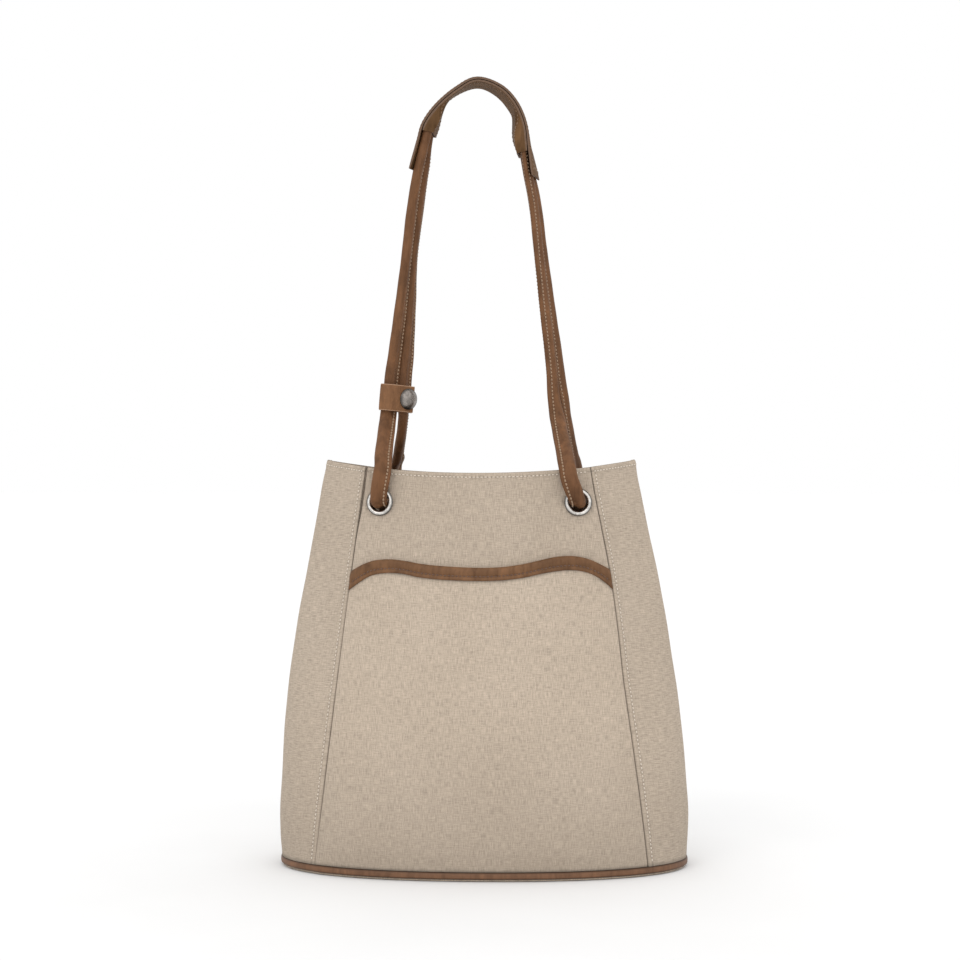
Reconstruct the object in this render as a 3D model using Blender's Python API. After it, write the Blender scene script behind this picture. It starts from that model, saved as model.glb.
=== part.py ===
"""Bucket bag in canvas and leather, as separate sewn, riveted and sliding pieces.

The origin is on the floor under the middle of the base, +Z is up, -Y is the front with the
pocket, and +X is the wearer's right as seen from the front. Shapes are worked out in
millimetres and written to the meshes in metres.
"""
import math

import bmesh
import bpy
from mathutils import Matrix, Vector

# ---------------------------------------------------------------- driving dimensions, mm
MM = 0.001
GAP = 0.3                      # clear space kept between touching pieces
LAYER_GAP = 0.9                # clear space between curved layers of cloth

HALF_WIDTH = [(0, 143.0), (45, 144.2), (125, 138.1), (200, 126.1), (286, 109.5)]
HALF_DEPTH = [(0, 73.5), (40, 74.0), (125, 64.0), (200, 50.5), (286, 36.0)]
BASE_ROUNDNESS = 2.2           # exponent of the base's superellipse
SEAM_X_BASE = 115.3            # front panel's half width at the base
SEAM_X_SLOPE = 0.115           # how fast the side seams lean in
SEAM_X_CURVE = 0.00007
# How far the front's side seams are pulled to the right of their straight run, by height.
LEFT_SEAM_PULL = [(0, -1.0), (40, -0.2), (80, 0.0), (225, 0.0), (255, 1.1), (286, 1.1)]
RIGHT_SEAM_PULL = [(0, -0.4), (40, 0.0), (100, 0.6), (135, 1.1), (165, 2.6), (206, 3.7),
                   (235, 3.0), (262, 2.0), (286, 1.5)]
SEAM_Y_MOUTH = 32.0            # depth of the side seams at the mouth
SHAPE_CHANGE_TOP = 250.0       # above this height the section is the mouth's hexagon
MOUTH_CORNER_Z = 286.0
MOUTH_SEAM_Z = 280.4
MOUTH_DIP = 4.0                # the panels' top edges are cut hollow by this much
MOUTH_CORNER_SOFTNESS = 0.15
SET_HEIGHT = 285.0             # the filled-out bag has settled: the mouth is turned and
SET_TWIST = math.radians(3.0)  # leans a little against the base
SET_LEAN = -2.5

CANVAS = 1.8
LINING = 0.8
WALL_BOTTOM = 6.4
FACING_BOTTOM = 236.0
FACING_DEPTH = (CANVAS + LAYER_GAP, CANVAS + LAYER_GAP + LINING)
LINING_INNER = FACING_DEPTH[1]
PLATE_INSET = 4.4              # board and lining base lie inside the piping

PIPING_LOW = 1.7
PIPING_HIGH = 6.0
PIPING_PROUD = 0.6
PIPING_DEEP = 3.7

POCKET_CLOTH = 1.2
POCKET_RISE = 1.0              # how far the empty pocket stands off the front
# The pocket's bound edge, and the binding's lower edge: share of the seams' half width, height.
POCKET_EDGE = [(-1.0, 207.9), (-0.91, 212.3), (-0.82, 215.4), (-0.69, 216.5), (-0.57, 215.6),
               (-0.45, 213.8), (-0.29, 212.3), (-0.06, 211.3), (0.15, 211.5), (0.32, 213.4),
               (0.47, 216.3), (0.58, 218.4), (0.69, 219.2), (0.78, 218.5), (0.86, 216.4),
               (0.935, 213.0), (1.0, 209.8)]
BINDING_EDGE = [(-1.0, 194.4), (-0.91, 200.1), (-0.82, 205.0), (-0.69, 207.2), (-0.57, 206.7),
                (-0.45, 204.6), (-0.29, 203.1), (-0.06, 202.3), (0.15, 202.6), (0.32, 204.2),
                (0.47, 207.1), (0.60, 209.0), (0.72, 209.4), (0.82, 207.6), (0.90, 203.8),
                (0.96, 199.3), (1.0, 195.6)]
BINDING_LEATHER = 1.0
INNER_POCKET_Z = (72.0, 188.0)
INNER_POCKET_S = (0.2, 0.8)

EYELET_X = 68.4
EYELET_Z = 256.0
EYELET_BORE = 6.4
EYELET_BARREL = 7.0
EYELET_FLANGE = 9.6
EYELET_CUT = 7.5               # hole in the cloth
WASHER_THICK = 0.8
MAGNET_Z = 258.0
MAGNET_RADIUS = 8.0

CORD_WIDE = 5.8                # half the cord's width
CORD_THIN = 3.2                # half its thickness
CORD_SPACING = 6.2             # each cord's centre from the middle of the pair
BEND_LOW = 288.0               # the cords' free bend lies between these heights
BEND_HIGH = 315.0
FOLD_AXIS_Z = 308.0            # the whole strap folds about this line along X

# Middle of each pair of cords: x, z, and how far the pair is turned in plan, degrees.
LEFT_LEG = [(-60.7, 345, 42), (-58.7, 362, 38), (-55.3, 396, 26), (-52.4, 430, 16),
            (-48.3, 464, 17), (-44.9, 487, 15), (-42.6, 498.6, 12), (-40.9, 510, 5),
            (-38.8, 520.5, 0)]
RIGHT_LEG = [(50.7, 345, 26), (48.7, 362, 23), (44.3, 396, 19), (40.1, 430, 14),
             (36.3, 464, 11), (32.5, 485, 9), (28.4, 505, 2), (26.9, 511, -1)]
# Lower run of each upper cord: x, y, z, turn of its broad side from the Y axis, degrees.
UPPER_STARTS = {"front_left": [(-67.6, -8.6, 315, 66), (-66.2, -4.8, 330, 46)],
                "back_left": [(-57.4, 7.0, 315, 13), (-57.1, 4.6, 330, 34)],
                "front_right": [(52.0, -9.0, 315, 48), (49.2, -5.4, 330, 32)],
                "back_right": [(58.2, 7.5, 315, 16), (56.0, 5.0, 330, 24)]}
# Where each cord's free bend starts above the mouth: x, y, turn of its broad side.
STUB_TOPS = {"front_left": (-69.0, -31.0, 86), "back_left": (-63.0, 31.0, 13),
             "front_right": (57.5, -35.5, 70), "back_right": (63.6, 27.5, 16)}
MOUTH_EDGE_X = {"front_left": -68.9, "back_left": -65.6,   # where each cord passes the mouth
                "front_right": 58.7, "back_right": 65.5}
# Each cord's way out of its eyelet and up over the mouth: how far outward of the eyelet, how
# far above it, and what share of its sideways lean and of its twist it has reached there.
WAY_OUT = ((-14.0, -2.6, 0.0, 0.0), (-6.0, -1.5, 0.0, 0.0), (0.2, -1.2, 0.02, 0.0),
           (5.4, 1.2, 0.15, 0.0), (7.6, 8.2, 0.5, 0.2), (7.4, 16.0, 0.85, 0.55),
           (4.6, 25.0, 1.0, 0.85))

LOOP_SAG = 4.0                 # how far each cord sags across the inside of the bag
CORD_STATIONS = (19, 5, 36, 5, 19)     # sections along its three parts and two free bends

# Middle line of the shoulder pad at the cords' level: x, z, turn in plan.
PAD_LINE = [(-44.4, 490, 15), (-42.6, 498.6, 12), (-40.9, 510, 5), (-38.6, 521.3, 0),
            (-30.8, 533.4, -5), (-18.6, 544.4, -10), (-4.8, 550.2, -3), (8.8, 545.0, -8),
            (18.3, 534.4, -9), (24.4, 520.5, -7), (28.4, 505, 2), (32.5, 485, 9)]
PAD_LEATHER = 1.7
PAD_HALF_WIDTH = 14.0
PAD_OUTER_OFFSET = CORD_THIN + GAP + PAD_LEATHER / 2
PAD_PLY_GAP = 0.7              # thread and glue between the strips where they meet
PAD_CORD_ROOM = 0.6            # more room under the cords, which turn as they end
PAD_INNER_OFFSET = PAD_OUTER_OFFSET - PAD_LEATHER - PAD_PLY_GAP
PAD_APART_OFFSET = -PAD_OUTER_OFFSET - PAD_CORD_ROOM    # where the cords lie between
PAD_STATIONS = 80
PAD_INNER_ENDS = (14, 71)      # stations at which the inner strip starts and stops
PAD_CLOSING = 13               # stations over which the strips then come together
PAD_CORD_ENDS = (17, 66)       # stations at which the cords' ends lie between the strips

KEEPER_CENTRE = Vector((-61.5, 0.0, 329.3))
KEEPER_AXIS = Vector((0.084, 0.0, 1.0)).normalized()
KEEPER_HALF_HEIGHT = 9.3
KEEPER_LEATHER = 1.5
SNAP_POINT = Vector((7.6, -5.0))        # snap's centre on the flap, in the keeper's plan
SNAP_TURN = math.radians(42.0)          # how far the snap looks away from the front
SNAP_LAYER_GAP = 2.6                    # room between the two leather layers at the snap
SNAP_CAP_RADIUS = 7.5
SNAP_HOLE_RADIUS = 1.5
SNAP_POST_RADIUS = 1.1
FLAP_HINGE = Vector((-11.1, -10.95))    # the fold the flap turns about, in the keeper's plan

CANVAS_COLOUR = (0.50, 0.42, 0.33)
LEATHER_COLOUR = (0.21, 0.115, 0.065)
BINDING_COLOUR = (0.25, 0.15, 0.09)
LINING_COLOUR = (0.45, 0.38, 0.30)
BOARD_COLOUR = (0.30, 0.25, 0.19)
METAL_COLOUR = (0.30, 0.28, 0.25)


# ---------------------------------------------------------------- small maths
def smoothstep(t):
    t = min(max(t, 0.0), 1.0)
    return t * t * (3 - 2 * t)


def curve_value(points, at):
    """Smooth curve through hand-picked (position, value) points, read at one position."""
    last = len(points) - 1
    at = min(max(at, points[0][0]), points[last][0])
    k = 0
    while k < last - 1 and at > points[k + 1][0]:
        k += 1

    def slope(i):
        a = points[max(i - 1, 0)]
        b = points[min(i + 1, last)]
        return (b[1] - a[1]) / (b[0] - a[0])

    (x0, y0), (x1, y1) = points[k], points[k + 1]
    span = x1 - x0
    t = (at - x0) / span
    rise = (2 * t ** 3 - 3 * t ** 2 + 1) * y0 + (3 * t ** 2 - 2 * t ** 3) * y1
    return rise + span * ((t ** 3 - 2 * t ** 2 + t) * slope(k) + (t ** 3 - t ** 2) * slope(k + 1))


def distances(route):
    """How far along a route each of its points lies."""
    reached = [0.0]
    for a, b in zip(route, route[1:]):
        reached.append(reached[-1] + math.dist(a[:3], b[:3]))
    return reached


def along(route, count, start=0.0, end=None, shift=0.0):
    """Read a smooth curve through a route's points, at evenly spaced distances."""
    reached = distances(route)
    end = reached[-1] if end is None else end
    columns = [list(zip(reached, column)) for column in zip(*route)]
    steps = [start + (end - start) * i / (count - 1) + shift for i in range(count)]
    return [tuple(curve_value(column, s) for column in columns) for s in steps]


# ---------------------------------------------------------------- making objects
def material(name, colour, roughness, metallic=0.0):
    made = bpy.data.materials.new(name)
    made.use_nodes = True
    shader = made.node_tree.nodes["Principled BSDF"]
    shader.inputs["Base Color"].default_value = (*colour, 1.0)
    shader.inputs["Roughness"].default_value = roughness
    shader.inputs["Metallic"].default_value = metallic
    return made


def add_object(name, points, faces, finish, parent=None):
    """Make one solid from points in millimetres and hang it on its pivot, if it has one."""
    colour, roughness, metallic = finish
    pivot = parent["at"] if parent else Vector((0, 0, 0))
    mesh = bpy.data.meshes.new(name)
    mesh.from_pydata([(Vector(p) - pivot) * MM for p in points], [], faces)
    shape = bmesh.new()
    shape.from_mesh(mesh)
    bmesh.ops.recalc_face_normals(shape, faces=shape.faces)
    shape.to_mesh(mesh)
    shape.free()
    mesh.shade_smooth()
    mesh.set_sharp_from_angle(angle=math.radians(35))
    mesh.materials.append(material(name, colour, roughness, metallic))
    made = bpy.data.objects.new(name, mesh)
    bpy.context.collection.objects.link(made)
    if parent:
        made.parent = parent["empty"]
    return made


def add_pivot(name, at, parent=None):
    empty = bpy.data.objects.new(name, None)
    bpy.context.collection.objects.link(empty)
    empty.location = at * MM
    if parent:
        empty.parent = parent["empty"]
        empty.location = (at - parent["at"]) * MM
    return {"empty": empty, "at": at}


def slab(name, outer, inner, finish, parent=None):
    """Closed solid between two matching grids of points (rows of columns)."""
    rows, columns = len(outer), len(outer[0])
    points = [p for row in outer for p in row] + [p for row in inner for p in row]
    back = rows * columns

    def at(r, c):
        return r * columns + c

    faces = []
    for r in range(rows - 1):
        for c in range(columns - 1):
            quad = [at(r, c), at(r, c + 1), at(r + 1, c + 1), at(r + 1, c)]
            faces.append(quad)
            faces.append([back + i for i in reversed(quad)])
    rim = [at(0, c) for c in range(columns)]
    rim += [at(r, columns - 1) for r in range(1, rows)]
    rim += [at(rows - 1, c) for c in range(columns - 2, -1, -1)]
    rim += [at(r, 0) for r in range(rows - 2, 0, -1)]
    for a, b in zip(rim, rim[1:] + rim[:1]):
        faces.append([b, a, back + a, back + b])
    return add_object(name, points, faces, finish, parent)


def sleeve(name, rings, finish, parent=None, closed=False):
    """Solid through a row of matching outlines, capped at both ends or joined end to end."""
    sides = len(rings[0])
    points = [p for ring in rings for p in ring]
    faces = []
    spans = len(rings) if closed else len(rings) - 1
    for r in range(spans):
        a = r * sides
        b = ((r + 1) % len(rings)) * sides
        for i in range(sides):
            j = (i + 1) % sides
            faces.append([a + i, a + j, b + j, b + i])
    if not closed:
        faces.append(list(range(sides))[::-1])
        faces.append([(len(rings) - 1) * sides + i for i in range(sides)])
    return add_object(name, points, faces, finish, parent)


def turned(name, profile, centre, axis, finish, parent=None, steps=24, solid=False):
    """Turn a profile of (radius, height) about an axis; solid closes it on the axis."""
    side = axis.orthogonal().normalized()
    other = axis.cross(side)
    rings = []
    for radius, height in profile:
        ring = []
        for i in range(steps):
            angle = 2 * math.pi * i / steps
            spoke = side * math.cos(angle) + other * math.sin(angle)
            ring.append(centre + axis * height + spoke * radius)
        rings.append(ring)
    return sleeve(name, rings, finish, parent, closed=not solid)


def cut_round_hole(target, centre, axis, radius, length, sides=16):
    """Punch a round hole through a piece with a Boolean and a wire cutter."""
    spin = axis.to_track_quat("Z", "Y").to_matrix().to_4x4()
    shape = bmesh.new()
    bmesh.ops.create_cone(shape, cap_ends=True, segments=sides, radius1=radius * MM,
                          radius2=radius * MM, depth=length * MM)
    mesh = bpy.data.meshes.new("punch")
    shape.to_mesh(mesh)
    shape.free()
    mesh.transform(Matrix.Translation(centre * MM) @ spin)
    cutter = bpy.data.objects.new("punch", mesh)
    bpy.context.collection.objects.link(cutter)
    cutter.hide_render = True
    cutter.display_type = "WIRE"
    punch = target.modifiers.new("punch", "BOOLEAN")
    punch.operation = "DIFFERENCE"
    punch.solver = "EXACT"
    punch.object = cutter


# ---------------------------------------------------------------- the bag's shape
def seam_x(z):
    return SEAM_X_BASE - SEAM_X_SLOPE * z - SEAM_X_CURVE * z * z


def oval_y(x, z):
    """Half depth of the rounded base section at x."""
    share = min(abs(x) / curve_value(HALF_WIDTH, z), 1.0)
    return curve_value(HALF_DEPTH, z) * (1 - share ** BASE_ROUNDNESS) ** (1 / BASE_ROUNDNESS)


def front_point(s, z):
    """Front panel's outer face, s from 0 at the left seam to 1 at the right one."""
    across = 2 * s - 1
    x = across * seam_x(z)
    depth = curve_value(HALF_DEPTH, z)
    flat = SEAM_Y_MOUTH + (depth - SEAM_Y_MOUTH) * (1 - across ** 2)
    change = smoothstep(z / SHAPE_CHANGE_TOP)
    return x, -(oval_y(x, z) * (1 - change) + flat * change)


def gusset_point(s, z):
    """Right gusset's outer face, s from 0 at the front seam to 1 at the back seam."""
    width = curve_value(HALF_WIDTH, z)
    depth = curve_value(HALF_DEPTH, z)
    power = 2 / BASE_ROUNDNESS
    widest = math.acos((seam_x(z) / width) ** (1 / power))
    angle = widest * (2 * s - 1)
    round_x = width * math.cos(angle) ** power
    round_y = depth * abs(math.sin(angle)) ** power * (1 if angle > 0 else -1)
    soft = MOUTH_CORNER_SOFTNESS
    away = (math.hypot(2 * s - 1, soft) - soft) / (math.hypot(1, soft) - soft)
    flat_x = width - (width - seam_x(z)) * away
    flat_y = SEAM_Y_MOUTH * (2 * s - 1)
    change = smoothstep(z / SHAPE_CHANGE_TOP)
    return (round_x * (1 - change) + flat_x * change, round_y * (1 - change) + flat_y * change)


def round_point(u, z):
    """Outer face all the way round: 0-1 front, 1-2 right gusset, 2-3 back, 3-4 left."""
    u = u % 4
    side = int(u)
    maker = gusset_point if side % 2 else front_point
    x, y = maker(u - side, z)
    if side >= 2:
        return -x, -y
    left = curve_value(LEFT_SEAM_PULL, z) * smoothstep(1 - u)
    right = curve_value(RIGHT_SEAM_PULL, z) * smoothstep(u if side == 0 else 3 - 2 * u)
    return x + left + right, y


def outward(u, z, step=0.03):
    x0, y0 = round_point(u - step, z)
    x1, y1 = round_point(u + step, z)
    length = math.hypot(x1 - x0, y1 - y0)
    return (y1 - y0) / length, (x0 - x1) / length


def settled(x, y, z):
    """Turn and lean the upper bag the way the soft cloth has settled."""
    share = smoothstep(z / SET_HEIGHT)
    turn = SET_TWIST * share
    return Vector((x * math.cos(turn) + y * math.sin(turn) + SET_LEAN * share,
                   y * math.cos(turn) - x * math.sin(turn), z))


def wall_point(u, z, depth):
    """A point of the wall, depth millimetres inside its outer face."""
    x, y = round_point(u, z)
    nx, ny = outward(u, z)
    return settled(x - nx * depth, y - ny * depth, z)


def mouth_height(u):
    side = int(u % 4)
    across = 2 * (u % 4 - side) - 1
    if side % 2:
        return MOUTH_CORNER_Z - (MOUTH_CORNER_Z - MOUTH_SEAM_Z) * abs(across)
    return MOUTH_SEAM_Z - MOUTH_DIP * (1 - across ** 2)


def pocket_edge(s):
    return curve_value(POCKET_EDGE, 2 * s - 1)


def binding_edge(s):
    return curve_value(BINDING_EDGE, 2 * s - 1)


def pocket_rise(s, z):
    """The pocket stands off the front in its middle and is sewn down round its sides."""
    across = smoothstep((1 - abs(2 * s - 1)) / 0.14)
    return POCKET_RISE * across * smoothstep((z - WALL_BOTTOM) / 18)


# ---------------------------------------------------------------- sewn walls
SEAM_HALF_GAP = {0: 0.0016, 1: 0.003}


def side_range(side, trim=1.0):
    gap = SEAM_HALF_GAP[side % 2] * trim
    return side + gap, side + 1 - gap


def wall_panel(name, span, low, high, depths, finish, columns=10, rows=10, rise=None):
    """One panel of the wall between two depths; low and high give its edges' heights."""
    grids = []
    for depth in depths:
        grid = []
        for r in range(rows + 1):
            row = []
            for c in range(columns + 1):
                u = span[0] + (span[1] - span[0]) * c / columns
                z = low + (high(u) - low) * r / rows
                stand = rise(u % 1, z) if rise else 0.0
                row.append(wall_point(u, z, depth - stand))
            grid.append(row)
        grids.append(grid)
    return slab(name, grids[0], grids[1], finish)


def wall_frame(u, z):
    """Centre and outward axis of something fixed square to the wall's outer face."""
    centre = wall_point(u, z, 0)
    across = wall_point(u + 0.04, z, 0) - wall_point(u - 0.04, z, 0)
    upward = wall_point(u, z + 6, 0) - wall_point(u, z - 6, 0)
    return centre, across.cross(upward).normalized()


def eyelet_places():
    """Name, centre and outward axis of the four eyelets."""
    share = EYELET_X / seam_x(EYELET_Z)
    places = {}
    for name, u in (("front_left", (1 - share) / 2), ("front_right", (1 + share) / 2),
                    ("back_right", 2 + (1 - share) / 2), ("back_left", 2 + (1 + share) / 2)):
        places[name] = wall_frame(u, EYELET_Z)
    return places


def make_walls(eyelets):
    canvas = (CANVAS_COLOUR, 0.85, 0.0)
    lining = (LINING_COLOUR, 0.8, 0.0)
    sides = {"front": 0, "right": 1, "back": 2, "left": 3}
    for word, side in sides.items():
        name = word + ("_gusset" if side % 2 else "_panel")
        wall = wall_panel(name, side_range(side), WALL_BOTTOM, mouth_height,
                          (0.0, CANVAS), canvas)
        facing = wall_panel("facing_" + word, side_range(side, 1.5), FACING_BOTTOM,
                            lambda u: mouth_height(u) - 0.8, FACING_DEPTH, canvas, rows=2)
        wall_panel("lining_" + word, side_range(side, 1.5), WALL_BOTTOM,
                   lambda u: FACING_BOTTOM - GAP, FACING_DEPTH, lining, rows=8)
        for place, (centre, axis) in eyelets.items():
            if place.startswith(word):
                cut_round_hole(wall, centre, axis, EYELET_CUT, 16)
                cut_round_hole(facing, centre, axis, EYELET_CUT, 16)
    low_s, high_s = INNER_POCKET_S
    wall_panel("inner_slip_pocket", (2 + low_s, 2 + high_s), INNER_POCKET_Z[0],
               lambda u: INNER_POCKET_Z[1],
               (LINING_INNER + LAYER_GAP, LINING_INNER + LAYER_GAP + LINING), lining,
               columns=6, rows=4)


def make_front_pocket():
    canvas = (CANVAS_COLOUR, 0.85, 0.0)
    leather = (BINDING_COLOUR, 0.6, 0.0)
    span = side_range(0)
    cloth_inner = -LAYER_GAP
    cloth_outer = cloth_inner - POCKET_CLOTH
    wall_panel("front_pocket", span, WALL_BOTTOM,
               lambda u: pocket_edge(u % 1) - BINDING_LEATHER - GAP,
               (cloth_outer, cloth_inner), canvas, columns=24, rows=8, rise=pocket_rise)
    rings = []
    steps = 24
    for i in range(steps + 1):
        s = span[0] + (span[1] - span[0]) * i / steps
        top = pocket_edge(s)
        low = binding_edge(s)
        cap = top - BINDING_LEATHER
        leaf = cloth_outer - GAP
        section = [(low, leaf), (cap, leaf), (cap, cloth_inner), (top, cloth_inner - 0.3),
                   (top, leaf - BINDING_LEATHER * 0.6), (cap, leaf - BINDING_LEATHER),
                   (low, leaf - BINDING_LEATHER)]
        rings.append([wall_point(s, z, d - pocket_rise(s, z)) for z, d in section])
    sleeve("pocket_binding", rings, leather)


def make_base():
    canvas = (CANVAS_COLOUR, 0.85, 0.0)
    leather = (LEATHER_COLOUR, 0.6, 0.0)
    plates = [("base_panel", 0.0, 1.4, 0.8, canvas),
              ("base_board", PIPING_LOW, 3.6, PLATE_INSET, (BOARD_COLOUR, 0.9, 0.0)),
              ("lining_base", 3.9, 4.7, PLATE_INSET, (LINING_COLOUR, 0.8, 0.0))]
    steps = 48
    turns = [4 * i / steps for i in range(steps)]
    for name, low, high, inset, finish in plates:
        rings = [[wall_point(u, PIPING_HIGH, inset) for u in turns] for _ in range(2)]
        for ring, height in zip(rings, (low, high)):
            for point in ring:
                point.z = height
        sleeve(name, rings, finish)
    middle = (PIPING_LOW + PIPING_HIGH) / 2
    reach = (PIPING_HIGH - PIPING_LOW) / 2
    rings = []
    for u in turns:
        ring = []
        for depth, lift in ((PIPING_DEEP, -1), (0.6, -1), (-PIPING_PROUD, -0.45),
                            (-PIPING_PROUD, 0.45), (0.6, 1), (PIPING_DEEP, 1)):
            point = wall_point(u, PIPING_HIGH, depth)
            point.z = middle + lift * reach
            ring.append(point)
        rings.append(ring)
    sleeve("base_piping", rings, leather, closed=True)


# ---------------------------------------------------------------- metal in the walls
def make_eyelets(eyelets):
    metal = (METAL_COLOUR, 0.35, 0.9)
    lift = 0.6
    washer_top = -(LINING_INNER + GAP + 0.15)
    barrel_end = washer_top - WASHER_THICK - 0.4
    flange = [(EYELET_BORE, barrel_end), (EYELET_BORE, 0.9), (7.3, 1.7), (8.7, 1.6),
              (EYELET_FLANGE, 0.9), (EYELET_FLANGE, lift), (EYELET_BARREL, lift),
              (EYELET_BARREL, barrel_end)]
    washer_bore = EYELET_BARREL + GAP
    washer = [(washer_bore, washer_top - WASHER_THICK), (EYELET_FLANGE, washer_top - WASHER_THICK),
              (EYELET_FLANGE, washer_top), (washer_bore, washer_top)]
    for name, (centre, axis) in eyelets.items():
        turned("eyelet_" + name, flange, centre, axis, metal, steps=16)
        turned("eyelet_washer_" + name, washer, centre, axis, metal, steps=16)


def make_magnet_snap():
    """Round magnetic fastener: a cup on the front facing and a stud on the back one."""
    metal = (METAL_COLOUR, 0.35, 0.9)
    base = -(LINING_INNER + GAP)
    front, front_axis = wall_frame(0.5, MAGNET_Z)
    back, back_axis = wall_frame(2.5, MAGNET_Z)
    cup = [(0.4, base), (MAGNET_RADIUS, base), (MAGNET_RADIUS, base - 2.6),
           (MAGNET_RADIUS - 0.6, base - 3.0), (3.4, base - 3.0), (3.4, base - 1.2),
           (0.4, base - 1.2)]
    stud = [(0.4, base), (MAGNET_RADIUS, base), (MAGNET_RADIUS, base - 1.4),
            (MAGNET_RADIUS - 0.5, base - 1.7), (2.8, base - 1.7), (2.6, base - 3.0),
            (0.4, base - 3.0)]
    for name, profile, centre, axis in (("magnet_snap_cup", cup, front, front_axis),
                                        ("magnet_snap_stud", stud, back, back_axis)):
        turned(name, profile[::-1], centre, axis, metal, steps=16, solid=True)


# ---------------------------------------------------------------- cords and strap
def cord(name, route, count, start, end, parent=None, sides=6):
    """Sweep the cord's flat oval along (x, y, z, turn of its broad side in plan)."""
    stations = along(route, count, start, end)
    before = along(route, count, start, end, -1.0)
    after = along(route, count, start, end, 1.0)
    rings = []
    for i, station in enumerate(stations):
        centre = Vector(station[:3])
        ahead = (Vector(after[i][:3]) - Vector(before[i][:3])).normalized()
        turn = math.radians(station[3])
        broad = Vector((math.sin(turn), math.cos(turn), 0))
        broad = (broad - ahead * broad.dot(ahead)).normalized()
        thin = ahead.cross(broad)
        ring = []
        for k in range(sides):
            angle = 2 * math.pi * (k + 0.5) / sides
            ring.append(centre + broad * CORD_WIDE * math.cos(angle)
                        + thin * CORD_THIN * math.sin(angle))
        rings.append(ring)
    return sleeve(name, rings, (LEATHER_COLOUR, 0.6, 0.0), parent)


def half_loop(place, eyelet):
    """Route from just inside an eyelet, out through it and up over the mouth's edge."""
    centre, axis = eyelet
    x, y, turn = STUB_TOPS[place]
    flat = Vector((axis.x, axis.y, 0)).normalized()
    lean = MOUTH_EDGE_X[place] - (centre + flat * WAY_OUT[-1][0]).x
    route = []
    for out, rise, leaned, twisted in WAY_OUT:
        point = centre + flat * out
        route.append((point.x + lean * leaned, point.y, point.z + rise,
                      90.0 + (turn - 90.0) * twisted))
    route.append((x, y, BEND_LOW, turn))
    return route


def upper_run(place):
    """Route of one upper cord, from the free bend above the mouth up under the pad."""
    leg = LEFT_LEG if place.endswith("left") else RIGHT_LEG
    reach = CORD_SPACING if place.startswith("back") else -CORD_SPACING
    route = list(UPPER_STARTS[place])
    for x, z, turn in leg:
        angle = math.radians(turn)
        route.append((x + reach * math.sin(angle), reach * math.cos(angle), z, turn))
    return route


def make_cords(eyelets, strap):
    """One cord each side, pad to pad through both eyelets, parted at its two free bends."""
    for side in ("left", "right"):
        front, back = "front_" + side, "back_" + side
        half_front = half_loop(front, eyelets[front])
        half_back = half_loop(back, eyelets[back])
        middle = (Vector(half_front[0][:3]) + Vector(half_back[0][:3])) / 2
        middle.z -= LOOP_SAG
        upper_front = upper_run(front)
        upper_back = upper_run(back)
        loop = half_front[::-1] + [(*middle, 90.0)] + half_back
        route = upper_front[::-1] + loop + upper_back
        reached = distances(route)
        marks = [reached[i] for i in (0, len(upper_front) - 1, len(upper_front),
                                      len(upper_front) + len(loop) - 1,
                                      len(upper_front) + len(loop), len(route) - 1)]
        names = ("strap_cord_" + front, "cord_bend_" + front, side + "_cord_loop",
                 "cord_bend_" + back, "strap_cord_" + back)
        for i, (name, count) in enumerate(zip(names, CORD_STATIONS)):
            cord(name, route, count, marks[i] + GAP / 2, marks[i + 1] - GAP / 2,
                 strap if name.startswith("strap") else None)


def inner_offset(station):
    """Where the inner strip runs: inside the cords at its ends, against the outer strip between."""
    low, high = PAD_CORD_ENDS
    apart = (smoothstep((low - station) / PAD_CLOSING + 1)
             + smoothstep((station - high) / PAD_CLOSING + 1))
    return PAD_INNER_OFFSET * (1 - apart) + PAD_APART_OFFSET * apart


def pad_strip(name, offset, half_width, first, last, count, parent):
    """Leather strip along the pad's line; offset gives its distance outside that line."""
    stations = along([(x, 0.0, z, turn) for x, z, turn in PAD_LINE], PAD_STATIONS + 1)
    picks = [round(first + i * (last - first) / (count - 1)) for i in range(count)]
    rings = []
    for pick in picks:
        x, _, z, turn = stations[pick]
        a = stations[max(pick - 1, 0)]
        b = stations[min(pick + 1, PAD_STATIONS)]
        length = math.hypot(b[0] - a[0], b[2] - a[2])
        normal = Vector((a[2] - b[2], 0, b[0] - a[0])) / length
        angle = math.radians(turn)
        broad = Vector((math.sin(angle), math.cos(angle), 0))
        middle = Vector((x, 0, z)) + normal * offset(pick)
        half = PAD_LEATHER / 2
        ring = []
        for across, lift in ((-1, -0.5), (-0.94, -1), (0.94, -1), (1, -0.5),
                             (1, 0.5), (0.94, 1), (-0.94, 1), (-1, 0.5)):
            ring.append(middle + broad * across * half_width + normal * lift * half)
        rings.append(ring)
    return sleeve(name, rings, (LEATHER_COLOUR, 0.6, 0.0), parent)


# ---------------------------------------------------------------- keeper with its snap
def keeper_point(plan, height=0.0):
    side = Vector((0, 1, 0)).cross(KEEPER_AXIS)
    return KEEPER_CENTRE + side * plan[0] + Vector((0, plan[1], 0)) + KEEPER_AXIS * height


def band(name, path, count, parent):
    """Leather strip standing on edge, following a path in the keeper's plan."""
    stations = [Vector(p[:2]) for p in along([(*p, 0.0) for p in path], count)]
    half = KEEPER_LEATHER / 2
    grids = [[], []]
    for height in (-KEEPER_HALF_HEIGHT, KEEPER_HALF_HEIGHT):
        rows = [[], []]
        for i, here in enumerate(stations):
            ahead = stations[min(i + 1, count - 1)] - stations[max(i - 1, 0)]
            ahead.normalize()
            normal = Vector((ahead.y, -ahead.x))
            rows[0].append(keeper_point(here + normal * half, height))
            rows[1].append(keeper_point(here - normal * half, height))
        grids[0].append(rows[0])
        grids[1].append(rows[1])
    return slab(name, grids[0], grids[1], (LEATHER_COLOUR, 0.6, 0.0), parent)


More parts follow.
